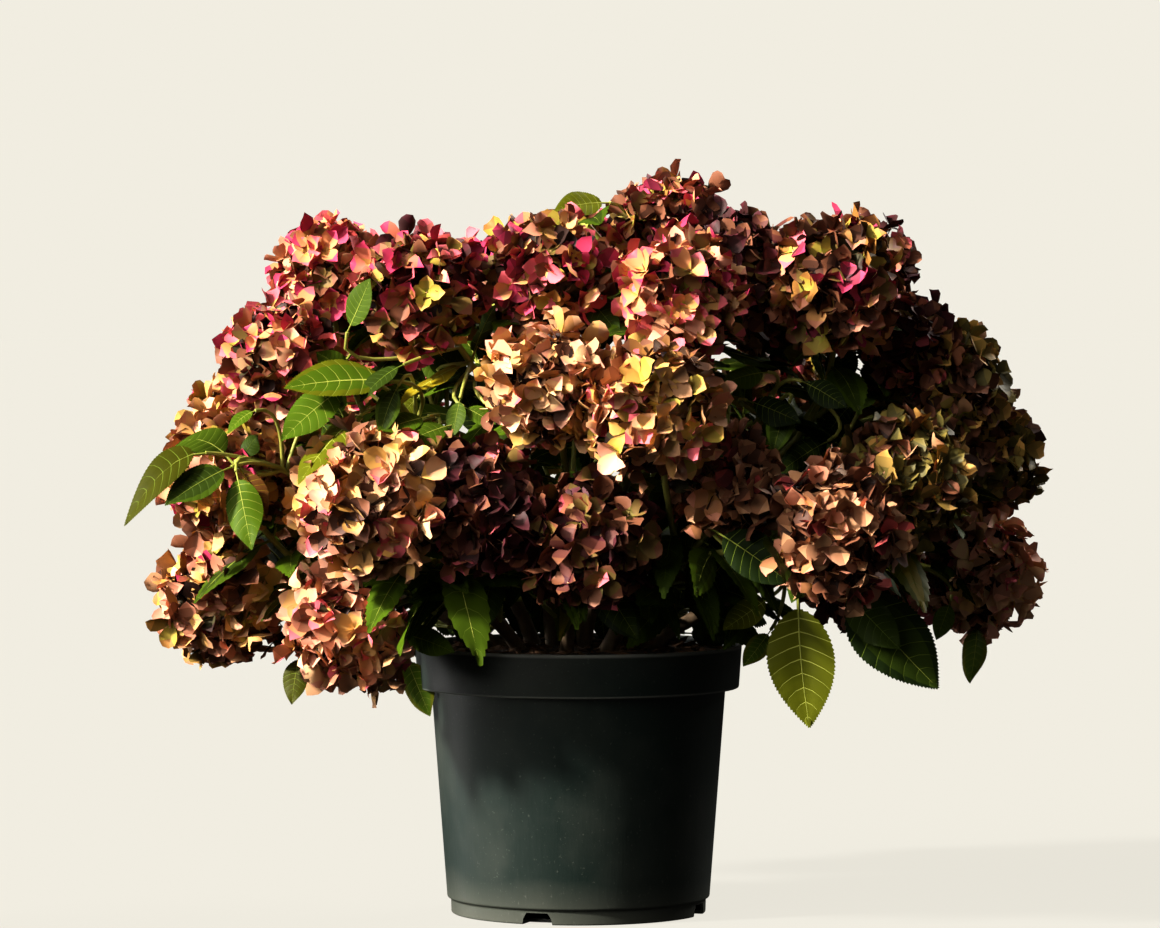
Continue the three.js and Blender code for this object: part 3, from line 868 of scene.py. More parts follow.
def turned(name, outline, facets):
    """A closed solid of revolution whose outline starts and ends on the axis."""
    points = [(0, 0, outline[0].y)]
    for spot in outline[1:-1]:
        for facet in range(facets):
            angle = 2 * math.pi * facet / facets
            points.append((spot.x * math.cos(angle), spot.x * math.sin(angle), spot.y))
    points.append((0, 0, outline[-1].y))
    last = len(points) - 1
    rings = len(outline) - 2
    faces = []
    for facet in range(facets):
        on = (facet + 1) % facets
        faces.append((0, 1 + on, 1 + facet))
        faces.append((last, 1 + (rings - 1) * facets + facet, 1 + (rings - 1) * facets + on))
        for ring in range(rings - 1):
            a = 1 + ring * facets
            faces.append((a + facet, a + on, a + facets + on, a + facets + facet))
    return mesh_from(name, [Vector(p) * MM for p in points], faces)


def drain_cutters():
    """One arch-shaped bar for each drain hole, through the foot's wall."""
    count = len(DRAIN_ARCH)
    points = []
    faces = []
    for index in range(DRAIN["count"]):
        angle = math.radians(DRAIN["bearing"] + 360 / DRAIN["count"] * index)
        out = Vector((math.cos(angle), math.sin(angle), 0))
        side = UP.cross(out)
        base = len(points)
        for reach in (POT["foot"] - DRAIN["reach"], POT["foot"] + DRAIN["reach"]):
            points += [(out * reach + side * across + UP * height) * MM for across, height in DRAIN_ARCH]
        faces.append([base + i for i in reversed(range(count))])
        faces.append([base + count + i for i in range(count)])
        faces += [
            (base + i, base + (i + 1) % count, base + count + (i + 1) % count, base + count + i)
            for i in range(count)
        ]
    return piece_from("drain_cutters", mesh_from("drain_cutters", points, faces))


def pot_finish():
    """Near-black green moulded plastic: a soft gloss, fine scratches and dust, a lighter foot that is partly
    dust and partly painted light bounced up from the floor, and pale lines at the ledge and lip that are
    painted highlights.
    """
    pot = Finish("pot_plastic", Roughness=0.5)
    cloud = pot.noise(9, 5)
    scratch = pot.noise(60, 3, (6, 6, 0.5))
    specks = pot.ramp(pot.noise(420, 2), (0.66, 0.0), (0.74, 1.0))
    dust = pot.ramp(cloud, (0.46, 0.0), (0.72, 0.55))
    height = pot.node("ShaderNodeSeparateXYZ", None, {0: pot.place()}, "Z")
    # Lighter towards the foot: partly dust, partly painted light bounced up from the pale floor.
    foot_dust_and_painted_bounce = pot.ramp(height * 10 + cloud * 0.5, (0.2, 1.0), (0.62, 0.0))
    body = pot.blend(pot.noise(3.2, 2), linear("101C18"), linear("172621"))
    # This blend carries the dust and the painted bounce light at the foot.
    dusty = pot.blend(dust * 0.2 + foot_dust_and_painted_bounce * 0.35, body, linear("77766A"))
    # The pale lines at the ledge and at the lip are painted highlights on the rounded edges.
    ledge = (POT["height"] - POT["band"]) / POT["height"]
    share_up = height * (1 / (POT["height"] * MM))
    at_ledge = ((ledge - 0.008, 0.0), (ledge, 1.0), (ledge + 0.008, 0.0))
    at_lip = ((0.985, 0.0), (0.993, 0.8))
    painted_edge_highlight = pot.ramp(share_up, *at_ledge, *at_lip)
    with_painted_edge_highlights = pot.blend(painted_edge_highlight * 0.8, dusty, linear("9A9C94"))
    pot.set("Base Color", pot.blend(specks * 0.16, with_painted_edge_highlights, linear("8B8F83")))
    pot.set("Roughness", 0.4 + dust * 0.15 + scratch * 0.12)
    pot.set("Specular IOR Level", 0.5)
    pot.bump(scratch + cloud * 0.5, 0.12, 0.0006)
    return pot.material


def make_pot():
    pot = piece_from("pot_body", turned("pot_body", pot_outline(), POT["facets"]))
    cutters = drain_cutters()
    cut = pot.modifiers.new("drains", "BOOLEAN")
    cut.operation = "DIFFERENCE"
    cut.solver = "EXACT"
    cut.object = cutters
    mesh = bpy.data.meshes.new_from_object(pot.evaluated_get(bpy.context.evaluated_depsgraph_get()))
    pot.modifiers.clear()
    pot.data = mesh
    bpy.data.objects.remove(cutters)
    mesh.materials.clear()
    mesh.materials.append(pot_finish())
    smoothed(mesh).set_sharp_from_angle(angle=math.radians(POT["sharp"]))
    finish_piece(pot, ["pot"])


# ---- soil ----

SOIL = {"edge_radius": 134.5, "edge": 223, "mound": 6, "rings": 34, "facets": 96}
CRUMBS = {"scale": 0.05, "height": 2.2, "fractal": (0.8, 2.2, 4)}
CHIP = {
    "shapes": 5,
    "corners": 11,
    "half": (0.5, 0.3, 0.11),
    "rings": 31,
    "spacing": 0.0075,
    "density": 14000.0,
    "size": (0.35, 1.25),
    "length": 0.016,
    "tilt": 0.45,
    "turn": 6.283,  # all the way round
}
WELD = 1e-6


def soil_height(x, y):
    """The soil's height in millimetres: a low mound with crumbs, sinking a little to the pot's wall."""
    share = math.hypot(x, y) / SOIL["edge_radius"]
    crumbs = noise.fractal(Vector((x, y, 0)) * CRUMBS["scale"], *CRUMBS["fractal"]) * CRUMBS["height"]
    return SOIL["edge"] + SOIL["mound"] * (1 - share**3) + crumbs


def soil_finish():
    soil = Finish("moist_soil", Roughness=0.95)
    grain = soil.noise(260, 6)
    lumps = soil.noise(70, 4)
    soil.set("Base Color", soil.blend(lumps, linear("17100B"), linear("3A281B")))
    soil.bump(grain + lumps, 0.8, 0.003)
    return soil.material


def bark_finish():
    bark = Finish("bark_chip", Roughness=0.85)
    grain = bark.noise(120, 4, (1, 1, 3))
    bark.set("Base Color", bark.blend(grain, linear("2A1A10"), linear("7A5536")))
    bark.bump(grain, 0.6, 0.0015)
    return bark.material


def chip_shape(name, rng):
    """An irregular flat chip of bark, one unit long."""
    form = bmesh.new()
    for _ in range(CHIP["corners"]):
        form.verts.new([rng.uniform(-half, half) for half in CHIP["half"]])
    bmesh.ops.convex_hull(form, input=form.verts)
    loose = [v for v in form.verts if not v.link_faces]
    bmesh.ops.delete(form, geom=loose, context="VERTS")
    mesh = bpy.data.meshes.new(name)
    form.to_mesh(mesh)
    form.free()
    return mesh


def chips_rule(plan, given):
    """Scatters chips over the soil, each turned and sized at random and lying nearly flat."""
    spread = {
        "Mesh": given["Carrier"],
        "Distance Min": given["Spacing"],
        "Density Max": given["Density"],
        "Seed": given["Seed"],
    }
    method = {"distribute_method": "POISSON"}
    spots = plan.node("GeometryNodeDistributePointsOnFaces", method, spread, "Points")
    tilt = CHIP["tilt"]
    turns = {"Min": (-tilt, -tilt, 0.0), "Max": (tilt, tilt, CHIP["turn"]), "Seed": given["Seed"]}
    seed = given["Seed"] + SEEDS["chip_sizes"]
    sizes = {"Min": given["Smallest"], "Max": given["Largest"], "Seed": seed}
    placing = {
        "Rotation": plan.node("FunctionNodeRandomValue", {"data_type": "FLOAT_VECTOR"}, turns, "Value"),
        "Scale": plan.node("FunctionNodeRandomValue", {"data_type": "FLOAT"}, sizes, "Value"),
    }
    return scattered(plan, given, spots, placing)


def soil_surface(name, rings):
    """The soil's surface out to one of its rings."""
    points = []
    faces = []
    facets = SOIL["facets"]
    for ring in range(rings + 1):
        radius = SOIL["edge_radius"] * ring / SOIL["rings"]
        for facet in range(facets):
            angle = 2 * math.pi * facet / facets
            x = radius * math.cos(angle)
            y = radius * math.sin(angle)
            points.append(Vector((x, y, soil_height(x, y))) * MM)
    for ring in range(rings):
        for facet in range(facets):
            on = (facet + 1) % facets
            a = ring * facets
            faces.append((a + facet, a + facets + facet, a + facets + on, a + on))
    surface = mesh_from(name, points, faces)
    form = bmesh.new()
    form.from_mesh(surface)
    bmesh.ops.remove_doubles(form, verts=form.verts, dist=WELD)
    form.to_mesh(surface)
    form.free()
    return surface


def make_soil():
    """The bed of soil, and chips of bark that keep clear of the pot's wall."""
    bed = piece_from("soil_bed", soil_surface("soil_bed", SOIL["rings"]))
    bed.data.materials.append(soil_finish())
    smoothed(bed.data)
    rng = random.Random(SEEDS["chips"])
    chips = grow(
        "bark_chips",
        soil_surface("chip_bed", CHIP["rings"]),
        chips_rule,
        {
            "Shapes": shelf_of("chip", [chip_shape("chip", rng) for _ in range(CHIP["shapes"])]),
            "Spacing": CHIP["spacing"],
            "Density": CHIP["density"],
            "Smallest": CHIP["size"][0] * CHIP["length"],
            "Largest": CHIP["size"][1] * CHIP["length"],
            "Seed": SEEDS["chip_places"],
            "Finish": bark_finish(),
        },
    )
    finish_piece(bed, ["soil"])
    finish_piece(chips)


# ---- stems, stalks and floret stalks ----

STEM_TUBE = {"sides": 18, "ridges": 190.0, "relief": 0.0026}
STALK_TUBE = {"sides": 9, "ridges": 260.0, "relief": 0.0006}
FLORET_TUBE = {"sides": 3, "ridges": 200.0, "relief": 0.0}
RIDGE_STRETCH = (1.0, 1.0, 0.22)
LINE_STEPS = {"stem": 46, "shoot": 22, "twig": 14, "leaf": 8}
STEM_BURIED = 0.045  # the share of a stem's line that is left out below the soil
TWIG_THICKNESS = 0.75  # of a shoot's
LEAF_STALK = {"foot": 1.9, "taper": 0.4}
STALK_INSIDE = 0.55  # a bloom's stalk is drawn up to this share of its radius


def line_carrier(name, lines):
    """A mesh of open lines, each point with its radius. lines holds lists of (place, radius), in mm."""
    points = []
    radii = []
    edges = []
    for line in lines:
        first = len(points)
        points += [place * MM for place, _ in line]
        radii += [radius * MM for _, radius in line]
        edges += [(i, i + 1) for i in range(first, len(points) - 1)]
    mesh = mesh_from(name, points, [], edges)
    write_points(mesh, thick=radii)
    return mesh


def tube_rule(plan, given):
    """Round tubes along the carrier's lines, with a relief of ridges that run along them."""
    line = plan.node("GeometryNodeMeshToCurve", None, {"Mesh": given["Carrier"]})
    section = {"Resolution": given["Sides"], "Radius": 1.0}
    ring = plan.node("GeometryNodeCurvePrimitiveCircle", None, section)
    thick = plan.attribute("thick", "FLOAT")
    body = {"Curve": line, "Profile Curve": ring, "Scale": thick, "Fill Caps": True}
    tube = plan.node("GeometryNodeCurveToMesh", None, body)
    stretch = {0: plan.node("GeometryNodeInputPosition"), 1: RIDGE_STRETCH}
    spot = plan.node("ShaderNodeVectorMath", {"operation": "MULTIPLY"}, stretch)
    ridged = {"Vector": spot, "Scale": given["Ridges"], "Detail": 3.0}
    ridge = plan.node("ShaderNodeTexNoise", None, ridged, "Fac")
    push = {0: plan.node("GeometryNodeInputNormal"), "Scale": (ridge - 0.5) * given["Relief"]}
    offset = plan.node("ShaderNodeVectorMath", {"operation": "SCALE"}, push)
    return plan.node("GeometryNodeSetPosition", None, {"Geometry": tube, "Offset": offset})


def make_tubes(name, lines, tube, finish):
    inputs = {"Sides": tube["sides"], "Ridges": tube["ridges"], "Relief": tube["relief"], "Finish": finish}
    piece = grow(name, line_carrier(name, lines), tube_rule, inputs)
    drop_attributes(piece.data, "thick")
    smoothed(piece.data)
    return piece


def sampled(limb, steps, radius_at, start=0.0, end=1.0):
    shares = [start + (end - start) * step / steps for step in range(steps + 1)]
    return [(limb.at(share), radius_at(share)) for share in shares]


def wood_finish():
    """Grey-brown bark with pale fibres and dark cracks, greener towards the stem's top."""
    wood = Finish("stem_bark", Roughness=0.82)
    fibre = wood.noise(150, 5, (1, 1, 0.18))
    patch = wood.noise(26, 3)
    height = wood.node("ShaderNodeSeparateXYZ", None, {0: wood.place()}, "Z")
    green = wood.ramp(height * 3.2 - 0.6 + patch * 0.2, (0.35, 0.0), (0.9, 1.0))
    bark = wood.blend(fibre, linear("2B1E13"), linear("8B7355"))
    wood.set("Base Color", wood.blend(green * 0.7, bark, linear("5E6A2C")))
    wood.bump(fibre, 0.5, 0.0012)
    return wood.material


def stalk_finish():
    """Green young wood with fine pale streaks."""
    stalk = Finish("green_stalk", Roughness=0.5)
    streak = stalk.noise(90, 3, (1, 1, 0.25))
    stalk.set("Base Color", stalk.blend(streak, linear("66782A"), linear("BDB65A")))
    return stalk.material


def make_stems(stems):
    lines = [sampled(stem, LINE_STEPS["stem"], stem_radius, STEM_BURIED) for stem in stems]
    wood = make_tubes("stems", lines, STEM_TUBE, wood_finish())
    finish_piece(wood, numbered("stem", len(stems)))


def shoot_radius(share):
    return SHOOT["foot"] + (SHOOT["tip"] - SHOOT["foot"]) * share


def twig_radius(share):
    return shoot_radius(share) * TWIG_THICKNESS


def leaf_stalk_radius(share):
    return LEAF_STALK["foot"] - LEAF_STALK["taper"] * share


def make_stalks(flowering, leafy, twigs, lone):
    """The green stalks of shoots, twigs and single leaves, and of blooms up to inside their florets."""
    lines = [sampled(shoot["limb"], LINE_STEPS["shoot"], shoot_radius) for shoot in leafy]
    lines += [sampled(shoot["limb"], LINE_STEPS["twig"], twig_radius) for shoot in twigs]
    lines += [sampled(leaf["stalk"], LINE_STEPS["leaf"], leaf_stalk_radius) for leaf, _ in lone]
    for shoot in flowering:
        inside = shoot["radius"] * STALK_INSIDE / shoot["limb"].length
        lines.append(sampled(shoot["limb"], LINE_STEPS["shoot"], shoot_radius, 0.0, 1 - inside))
    finish_piece(make_tubes("stalks", lines, STALK_TUBE, stalk_finish()))


# ---- leaves ----

LEAF_TINTS = {
    "bright": "585C0F",
    "fresh": "465C10",
    "mid": "3E5010",
    "deep": "2C3A0E",
    "dark": "1A260C",
    "olive": "3C3E08",
    "mellow": "54580E",
    "gold": "8A7A1A",
    "brown": "5A3B1A",
    "pale_vein": "868E3C",
    "mid_vein": "627228",
    "dull_vein": "4A5A28",
    "rib": "A3A850",
}
# Each mood lists the leaves that it deals: the tints of the inner blade, the outer blade, veins and rib.
# The sunny and lit moods deal lighter greens as painted light, the shade and dark moods darker greens as
# painted shade; the olive, yellowing, withered and turning moods are the leaves' own colours.
LEAF_MOODS = {
    "sunny": (("bright", "bright", "pale_vein", "rib"), ("fresh", "bright", "pale_vein", "rib")),
    "lit": (
        ("mid", "mid", "mid_vein", "rib"),
        ("fresh", "fresh", "pale_vein", "rib"),
        ("deep", "mid", "dull_vein", "pale_vein"),
        ("mid", "fresh", "mid_vein", "rib"),
    ),
    "shade": (
        ("mid", "mid", "mid_vein", "pale_vein"),
        ("deep", "deep", "dull_vein", "mid_vein"),
        ("deep", "mid", "dull_vein", "pale_vein"),
    ),
    "olive": (("olive", "olive", "mid_vein", "pale_vein"),),
    "dark": (("dark", "dark", "mid_vein", "pale_vein"), ("deep", "dark", "mid_vein", "pale_vein")),
    "yellowing": (("mellow", "mellow", "rib", "rib"),),
    "withered": (("brown", "brown", "gold", "gold"),),
    "turning": (("gold", "bright", "pale_vein", "rib"), ("gold", "gold", "rib", "rib")),
}
TURNING_SHARE = 0.08  # of the crown's leaves turn yellow
# Past this x the crown's leaves take the darker greens of the shade mood, as painted shade.
SHADE_SIDE = 60  # past this x the crown's leaves take the shade mood
UPTURN = {"lift": 0.6, "stray": 0.25}  # how a leaf's upper face looks up, and strays
SAGS = (0.8, 1.8)
LEAF_SHAPE = {"stalk": 0.17, "fold": 0.3, "waves": 9, "edge_quilt": 0.3}
LEAF_VARIES = {
    "fold": (0.2, 1.3),
    "arch": (0.8, 1.8),
    "wave": (0.006, 0.025),
    "phase": (0, 6),
    "skew": (-0.08, 0.08),
}
BLADE = {"width": 1.79, "foot": 0.68, "tip": 0.86, "drawn_out": 0.3}
VEINS = {"spare": 0.35, "first": 0.62, "taper": 1.25, "crest": 0.45, "valley": -0.6}
VEIN_CURVE = {"slant": 0.15, "outward": 1.3, "along": 0.7, "thinning": 0.8, "last": 0.995}
INNER_ZONE, OUTER_ZONE, VEIN_ZONE, RIB_ZONE = range(4)
TOOTH = {"point": 0.72, "notch": 0.95}
RIB = {"radius": 0.017, "steps": 5, "reach": 0.95, "taper": 1.1, "sunk": 0.2}
# Leaves that show from close by are cut finer than the many that fill the crown.
LEAF_CUTS = {
    "plain": {
        "half": 0.31,
        "veins": 5,
        "across": (0.5, 1.0),
        "teeth": 1,
        "tooth": 0.018,
        "vein": 0.013,
        "quilt": 0.016,
    },
    "fine": {
        "half": 0.41,
        "veins": 8,
        "across": (0.33, 0.7, 1.0),
        "teeth": 2,
        "tooth": 0.011,
        "vein": 0.011,
        "quilt": 0.012,
    },
}
LEAF_SHAPES = 6  # of each cut
# Single leaves: rounds to find the blade's length, the bend of their stalk, how far it runs on into the
# blade, and the points at a shoot's tip that no stalk springs from.
LONE = {"rounds": 6, "bend": 0.4, "into": 2, "tip_points": 12}


def blade_half(share):
    """Half a blade's width along it, as a share of the widest: broad before the middle, then drawn out."""
    inside = min(max(share, 0.0), 1.0)
    ends = BLADE["width"] * inside ** BLADE["foot"] * (1 - inside) ** BLADE["tip"]
    return ends * (1 - BLADE["drawn_out"] * inside**7)


def leaf_rows(cut):
    """Where the crosswise lines of a blade run, with the lift of each and the width of the vein behind it.

    Each vein is a narrow strip in a valley, with a rise and a fall of blade up to the next.
    """
    step = 1 / (cut["veins"] + VEINS["spare"])
    rows = []
    for vein in range(cut["veins"]):
        middle = step * (vein + VEINS["first"])
        width = cut["vein"] * (VEINS["taper"] - middle)
        rows.append((middle - step * VEINS["crest"], 1.0, 0.0))
        rows.append((middle, VEINS["valley"], 0.0))
        rows.append((middle + width, VEINS["valley"], width))
    return rows


def vein_place(share, part, width):
    """Where a crosswise line runs at a part of the way out. Veins curve forward and grow thin."""
    slant = VEIN_CURVE["slant"] * part ** VEIN_CURVE["outward"]
    slant *= math.sin(math.pi * share) ** VEIN_CURVE["along"]
    return min(share + slant - width * VEIN_CURVE["thinning"] * part, VEIN_CURVE["last"])


def blade_faces(points, lines, vein_strips, hand, cut):
    """The faces between the lines of half a blade, toothed at its edge, each with its zone."""
    for order, (near, far) in enumerate(zip(lines, lines[1:])):
        rim = order == len(cut["across"]) - 1
        for strip, vein in enumerate(vein_strips):
            corners = [near[strip], near[strip + 1], far[strip + 1], far[strip]]
            if rim and not vein:
                corners[3:3] = add_teeth(points, far[strip], far[strip + 1], hand, cut)
            kept = list(dict.fromkeys(corners))
            blade_zone = OUTER_ZONE if rim else INNER_ZONE
            yield kept if hand < 0 else kept[::-1], VEIN_ZONE if vein else blade_zone


def leaf_shape(name, cut, rng):
    """A toothed leaf, one unit long along +X, quilted between its veins. Its faces know their zone."""
    stalk = LEAF_SHAPE["stalk"]
    folding, arch, wave, phase, skew = (rng.uniform(*span) for span in LEAF_VARIES.values())
    fold = LEAF_SHAPE["fold"] * folding
    points = []

    def spot(share, across, lift=0.0):
        side = across * cut["half"] * blade_half(share)
        x = stalk + (1 - stalk) * share
        waving = wave * math.sin(LEAF_SHAPE["waves"] * share + phase)
        z = fold * abs(side) - arch * side * side + lift + waving * abs(across)
        points.append(Vector((x, side + skew * share * share, z)))
        return len(points) - 1

    base = spot(0, 0)
    tip = spot(1, 0)
    rows = leaf_rows(cut)
    ribs = [base] + [spot(share, 0) for share, _, _ in rows] + [tip]
    vein_strips = [width > 0 for _, _, width in rows] + [False]
    faces = []
    zones = []
    for hand in (1, -1):
        lines = [ribs]
        for part in cut["across"]:
            edge = LEAF_SHAPE["edge_quilt"] if part == 1 else 1.0
            line = []
            for share, lift, width in rows:
                swell = lift * cut["quilt"] * edge * blade_half(share)
                line.append(spot(vein_place(share, part, width), hand * part, swell))
            lines.append([base, *line, tip])
        for face, zone in blade_faces(points, lines, vein_strips, hand, cut):
            faces.append(face)
            zones.append(zone)
    add_rib(points, faces, zones, skew)
    mesh = mesh_from(name, points, faces)
    write_faces(mesh, zone=zones)
    write_points(mesh, along=[point.x for point in points])
    return smoothed(mesh)


def add_teeth(points, foot, head, hand, cut):
    """Points for the teeth along a strip's edge, from its head back to its foot."""
    start = points[foot]
    end = points[head]
    out = Vector((end.y - start.y, start.x - end.x, 0)).normalized() * -hand * cut["tooth"]
    teeth = []
    for tooth in range(cut["teeth"]):
        points.append(start.lerp(end, (tooth + TOOTH["point"]) / cut["teeth"]) + out)
        teeth.append(len(points) - 1)
        if tooth < cut["teeth"] - 1:
            points.append(start.lerp(end, (tooth + TOOTH["notch"]) / cut["teeth"]))
            teeth.append(len(points) - 1)
    return teeth[::-1]


def add_rib(points, faces, zones, skew):
    """The leaf's stalk and midrib, as one tapering three-sided rod."""
    steps = RIB["steps"]
    first = len(points)
    stalk = LEAF_SHAPE["stalk"]
    for step in range(steps + 1):
        share = step / steps * RIB["reach"]
        thick = RIB["radius"] * (RIB["taper"] - share)
        bend = skew * max((share - stalk) / (1 - stalk), 0) ** 2
        for corner in range(3):
            angle = math.pi / 2 + corner * 2 * math.pi / 3
            height = thick * (math.sin(angle) - RIB["sunk"])
            points.append(Vector((share, thick * math.cos(angle) + bend, height)))
    for step in range(steps):
        for corner in range(3):
            on = (corner + 1) % 3
            a = first + 3 * step
            faces.append((a + corner, a + 3 + corner, a + 3 + on, a + on))
            zones.append(RIB_ZONE)


def leaf_rule(plan, given):
    """One of the leaf shapes on every point, turned and sized as the point says, with its tip hanging."""
    size = plan.attribute("size", "FLOAT")
    turn = plan.attribute("turn", "FLOAT_VECTOR")
    placing = {"Instance Index": plan.attribute("pick", "INT"), "Rotation": turn, "Scale": size}
    leaves = scattered(plan, given, given["Carrier"], placing)
    loose = plan.node("GeometryNodeRealizeInstances", None, {"Geometry": leaves})
    sag = plan.attribute("along", "FLOAT") ** 2.0 * size * plan.attribute("droop", "FLOAT") * given["Droop"]
    down = plan.node("ShaderNodeCombineXYZ", None, {"Z": 0.0 - sag})
    return plan.node("GeometryNodeSetPosition", None, {"Geometry": loose, "Offset": down})


def leaf_pairs(limb, pairs, upto, size):
    """Opposite pairs of leaves, each turned a quarter from the next, with the one nearest the tip level."""
    places = []
    for order, (share, scale) in enumerate(pairs):
        point = limb.at(share * upto)
        along = limb.heading(share * upto)
        level = along.cross(UP).normalized()
        turn = ((len(pairs) - 1 - order) % 2) * math.pi / 2
        quarter = Quaternion(along, turn) @ level
        for hand in (1, -1):
            heading = along * math.cos(LEAF["spread"]) + quarter * hand * math.sin(LEAF["spread"])
            start = point - heading * LEAF["sunk"]
            length = LEAF["length"] * size * scale
            places.append({"start": start, "heading": heading, "above": along, "length": length})
    return places


def leaf_fits(leaf, blooms, own=None):
    """True unless a leaf would run into a bloom's ball or past the crown's reach."""
    spots = []
    for share in LEAF_ROOM["along"]:
        along = share * leaf["length"]
        spots.append(leaf["start"] + leaf["heading"] * along - UP * LEAF["droop"] * share * along)
    for bloom in blooms:
        room = bloom["radius"] * LEAF_ROOM["own" if bloom is own else "other"]
        if any((spot - bloom["end"]).length < room for spot in spots):
            return False
    low, high = (Vector(corner) / MM for corner in CAD_BOX)
    spare = LEAF_ROOM["past_box"]
    tip = spots[-1]
    if not all(low[i] - spare < tip[i] < high[i] + spare for i in range(3)):
        return False
    left, right = FRONT_CLEAR["across"]
    bottom, top = FRONT_CLEAR["up"]
    if tip.y < FRONT_CLEAR["before"] and left < tip.x < right and bottom < tip.z < top:
        return False
    across = RIM_CLEAR["across"]
    if abs(tip.x) < across and tip.y > RIM_CLEAR["behind"]:
        return tip.z > RIM_CLEAR["low"]
    over_pot = math.hypot(tip.x, tip.y) < across or (abs(tip.x) < across and tip.y < 0)
    return tip.z > RIM_CLEAR["over" if over_pot else "beside"]


def fitted_leaves(places, blooms, own=None):
    """The leaves that find room, each at the largest size that does."""
    kept = []
    for leaf in places:
        sizes = ({**leaf, "length": leaf["length"] * shrink} for shrink in SHRINKS)
        kept += [size for size in sizes if leaf_fits(size, blooms, own)][:1]
    return kept


def twig_from(stem, start, end, facing, size):
    twig = {"start": start, "end": end, "facing": facing, "size": size}
    return {**twig, "limb": shoot_limb(stem, twig, 0, 0)}


def gap_twigs(stems, blooms, leafy, rng):
    """Leafy twigs from every stem into the widest gaps that it can reach between the blooms."""
    middle = Vector(CROWN["middle"])
    shortest, longest = TWIGS["length"]
    ends = [shoot["end"] for shoot in leafy]
    twigs = []
    for stem in stems * TWIGS["count"]:
        start = rng.uniform(*TWIGS["forks"])
        foot = stem.at(start)
        best = None
        for _ in range(TWIGS["tries"]):
            aim = towards(rng.uniform(0, 360), rng.uniform(*TWIGS["aim"]["rise"]))
            aim *= rng.uniform(*TWIGS["aim"]["share"])
            end = middle + Vector([a * r for a, r in zip(aim, CROWN["reach"])])
            if not shortest < (end - foot).length < longest:
                continue
            if end.z < foot.z - TWIGS["drop"] or end.y < TWIGS["front"]:
                continue
            room = min((end - bloom["end"]).length - bloom["radius"] for bloom in blooms)
            apart = min((end - other).length for other in ends)
            if apart < TWIGS["apart"] or room < TWIGS["room"]:
                continue
            score = min(room, GAP_SCORE["room_limit"])
            score += GAP_SCORE["apart"] * min(apart, GAP_SCORE["apart_limit"])
            score += GAP_SCORE["outward"] * (end - middle).length
            if best is None or score > best[0]:
                best = (score, end)
        if best is None:
            continue
        end = best[1]
        ends.append(end)
        facing = ((end - foot).normalized() + UP * TWIGS["up"]).normalized()
        twigs.append(twig_from(stem, start, end, facing, rng.uniform(*TWIGS["sizes"])))
    return twigs


def frame_turn(forward, above):
    """The Euler turn that takes +X to forward and +Z as near as may be to above."""
    side = above.cross(forward).normalized()
    top = forward.cross(side)
    columns = [forward, side, top]
    rows = [[columns[c][r] for c in range(3)] for r in range(3)]
    return Matrix(rows).to_euler()


def skirt_twigs(stems, rng):
    """Short leafy twigs low on every stem, which hide the soil and hang over the pot's rim."""
    twigs = []
    for stem in stems * SKIRT["count"]:
        start = rng.uniform(*SKIRT["forks"])
        foot = stem.at(start)
        away = math.degrees(math.atan2(foot.y, foot.x)) + rng.uniform(-SKIRT["turn"], SKIRT["turn"])
        facing = towards(away, rng.uniform(*SKIRT["rise"]))
        end = foot + facing * rng.uniform(*SKIRT["length"])
        twigs.append(twig_from(stem, start, end, facing, rng.uniform(*TWIGS["sizes"]) * SKIRT["size"]))
    return twigs


def lone_leaves(lines):
    """The single leaves as they are planned, each with a stalk from the nearest stem or shoot."""
    leaves = []
    for base, tip, sag, facing, mood in LONE_LEAVES:
        start = Vector(base)
        reach = Vector(tip) - start
        length = reach.length
        for _ in range(LONE["rounds"]):
            length = (reach + UP * sag * length).length
        heading = (reach + UP * sag * length) / length
        springs = (point for line in lines for point in line.points[: -LONE["tip_points"]])
        holder = min(springs, key=lambda point: (point - start).length)
        bend = start - heading * (start - holder).length * LONE["bend"]
        leaf = {"start": start, "heading": heading, "above": towards(*facing), "length": length}
        leaf["sag"] = sag / LEAF["droop"]
        leaf["stalk"] = Limb(holder, bend, start + heading * LONE["into"])
        leaves.append((leaf, mood))
    return leaves


# Crown leaves on the left take the lit greens as painted light; past the shade side they take the shade
# greens as painted shade.
def mood_at(shoot):
    return "shade" if shoot["end"].x > SHADE_SIDE else "lit"


def crown_leaves(flowering, leafy, twigs, skirts, rng):
    """The pairs of leaves on shoots and twigs, each leaf with its mood."""
    leaves = []
    for shoot in leafy:
        if shoot["end"].y > TWIGS["front"]:
            pairs = leaf_pairs(shoot["limb"], LEAFY_PAIRS, 1.0, shoot["size"])
            leaves += [(leaf, mood_at(shoot)) for leaf in pairs]
    for shoot in flowering:
        upto = 1 - shoot["radius"] * GROOVE / shoot["limb"].length
        pairs = leaf_pairs(shoot["limb"], FLOWERING_PAIRS, upto, rng.uniform(*FLOWERING_SIZES))
        leaves += [(leaf, mood_at(shoot)) for leaf in fitted_leaves(pairs, flowering, shoot)]
    for shoots, places in ((twigs, TWIG_PAIRS), (skirts, SKIRT_PAIRS)):
        for shoot in shoots:
            pairs = leaf_pairs(shoot["limb"], places, 1.0, shoot["size"])
            leaves += [(leaf, mood_at(shoot)) for leaf in fitted_leaves(pairs, flowering)]
    return leaves


def leaf_poses(leaves, rng):
    """The turn and the sag of every leaf. Single leaves have theirs planned."""
    turns = []
    droops = []
    for leaf, _ in leaves:
        above = leaf["above"]
        if "sag" not in leaf:
            above = (above + UP * UPTURN["lift"] + stray(rng, UPTURN["stray"])).normalized()
        turns.append(frame_turn(leaf["heading"].normalized(), above))
        droops.append(leaf.get("sag", rng.uniform(*SAGS)))
    return turns, droops


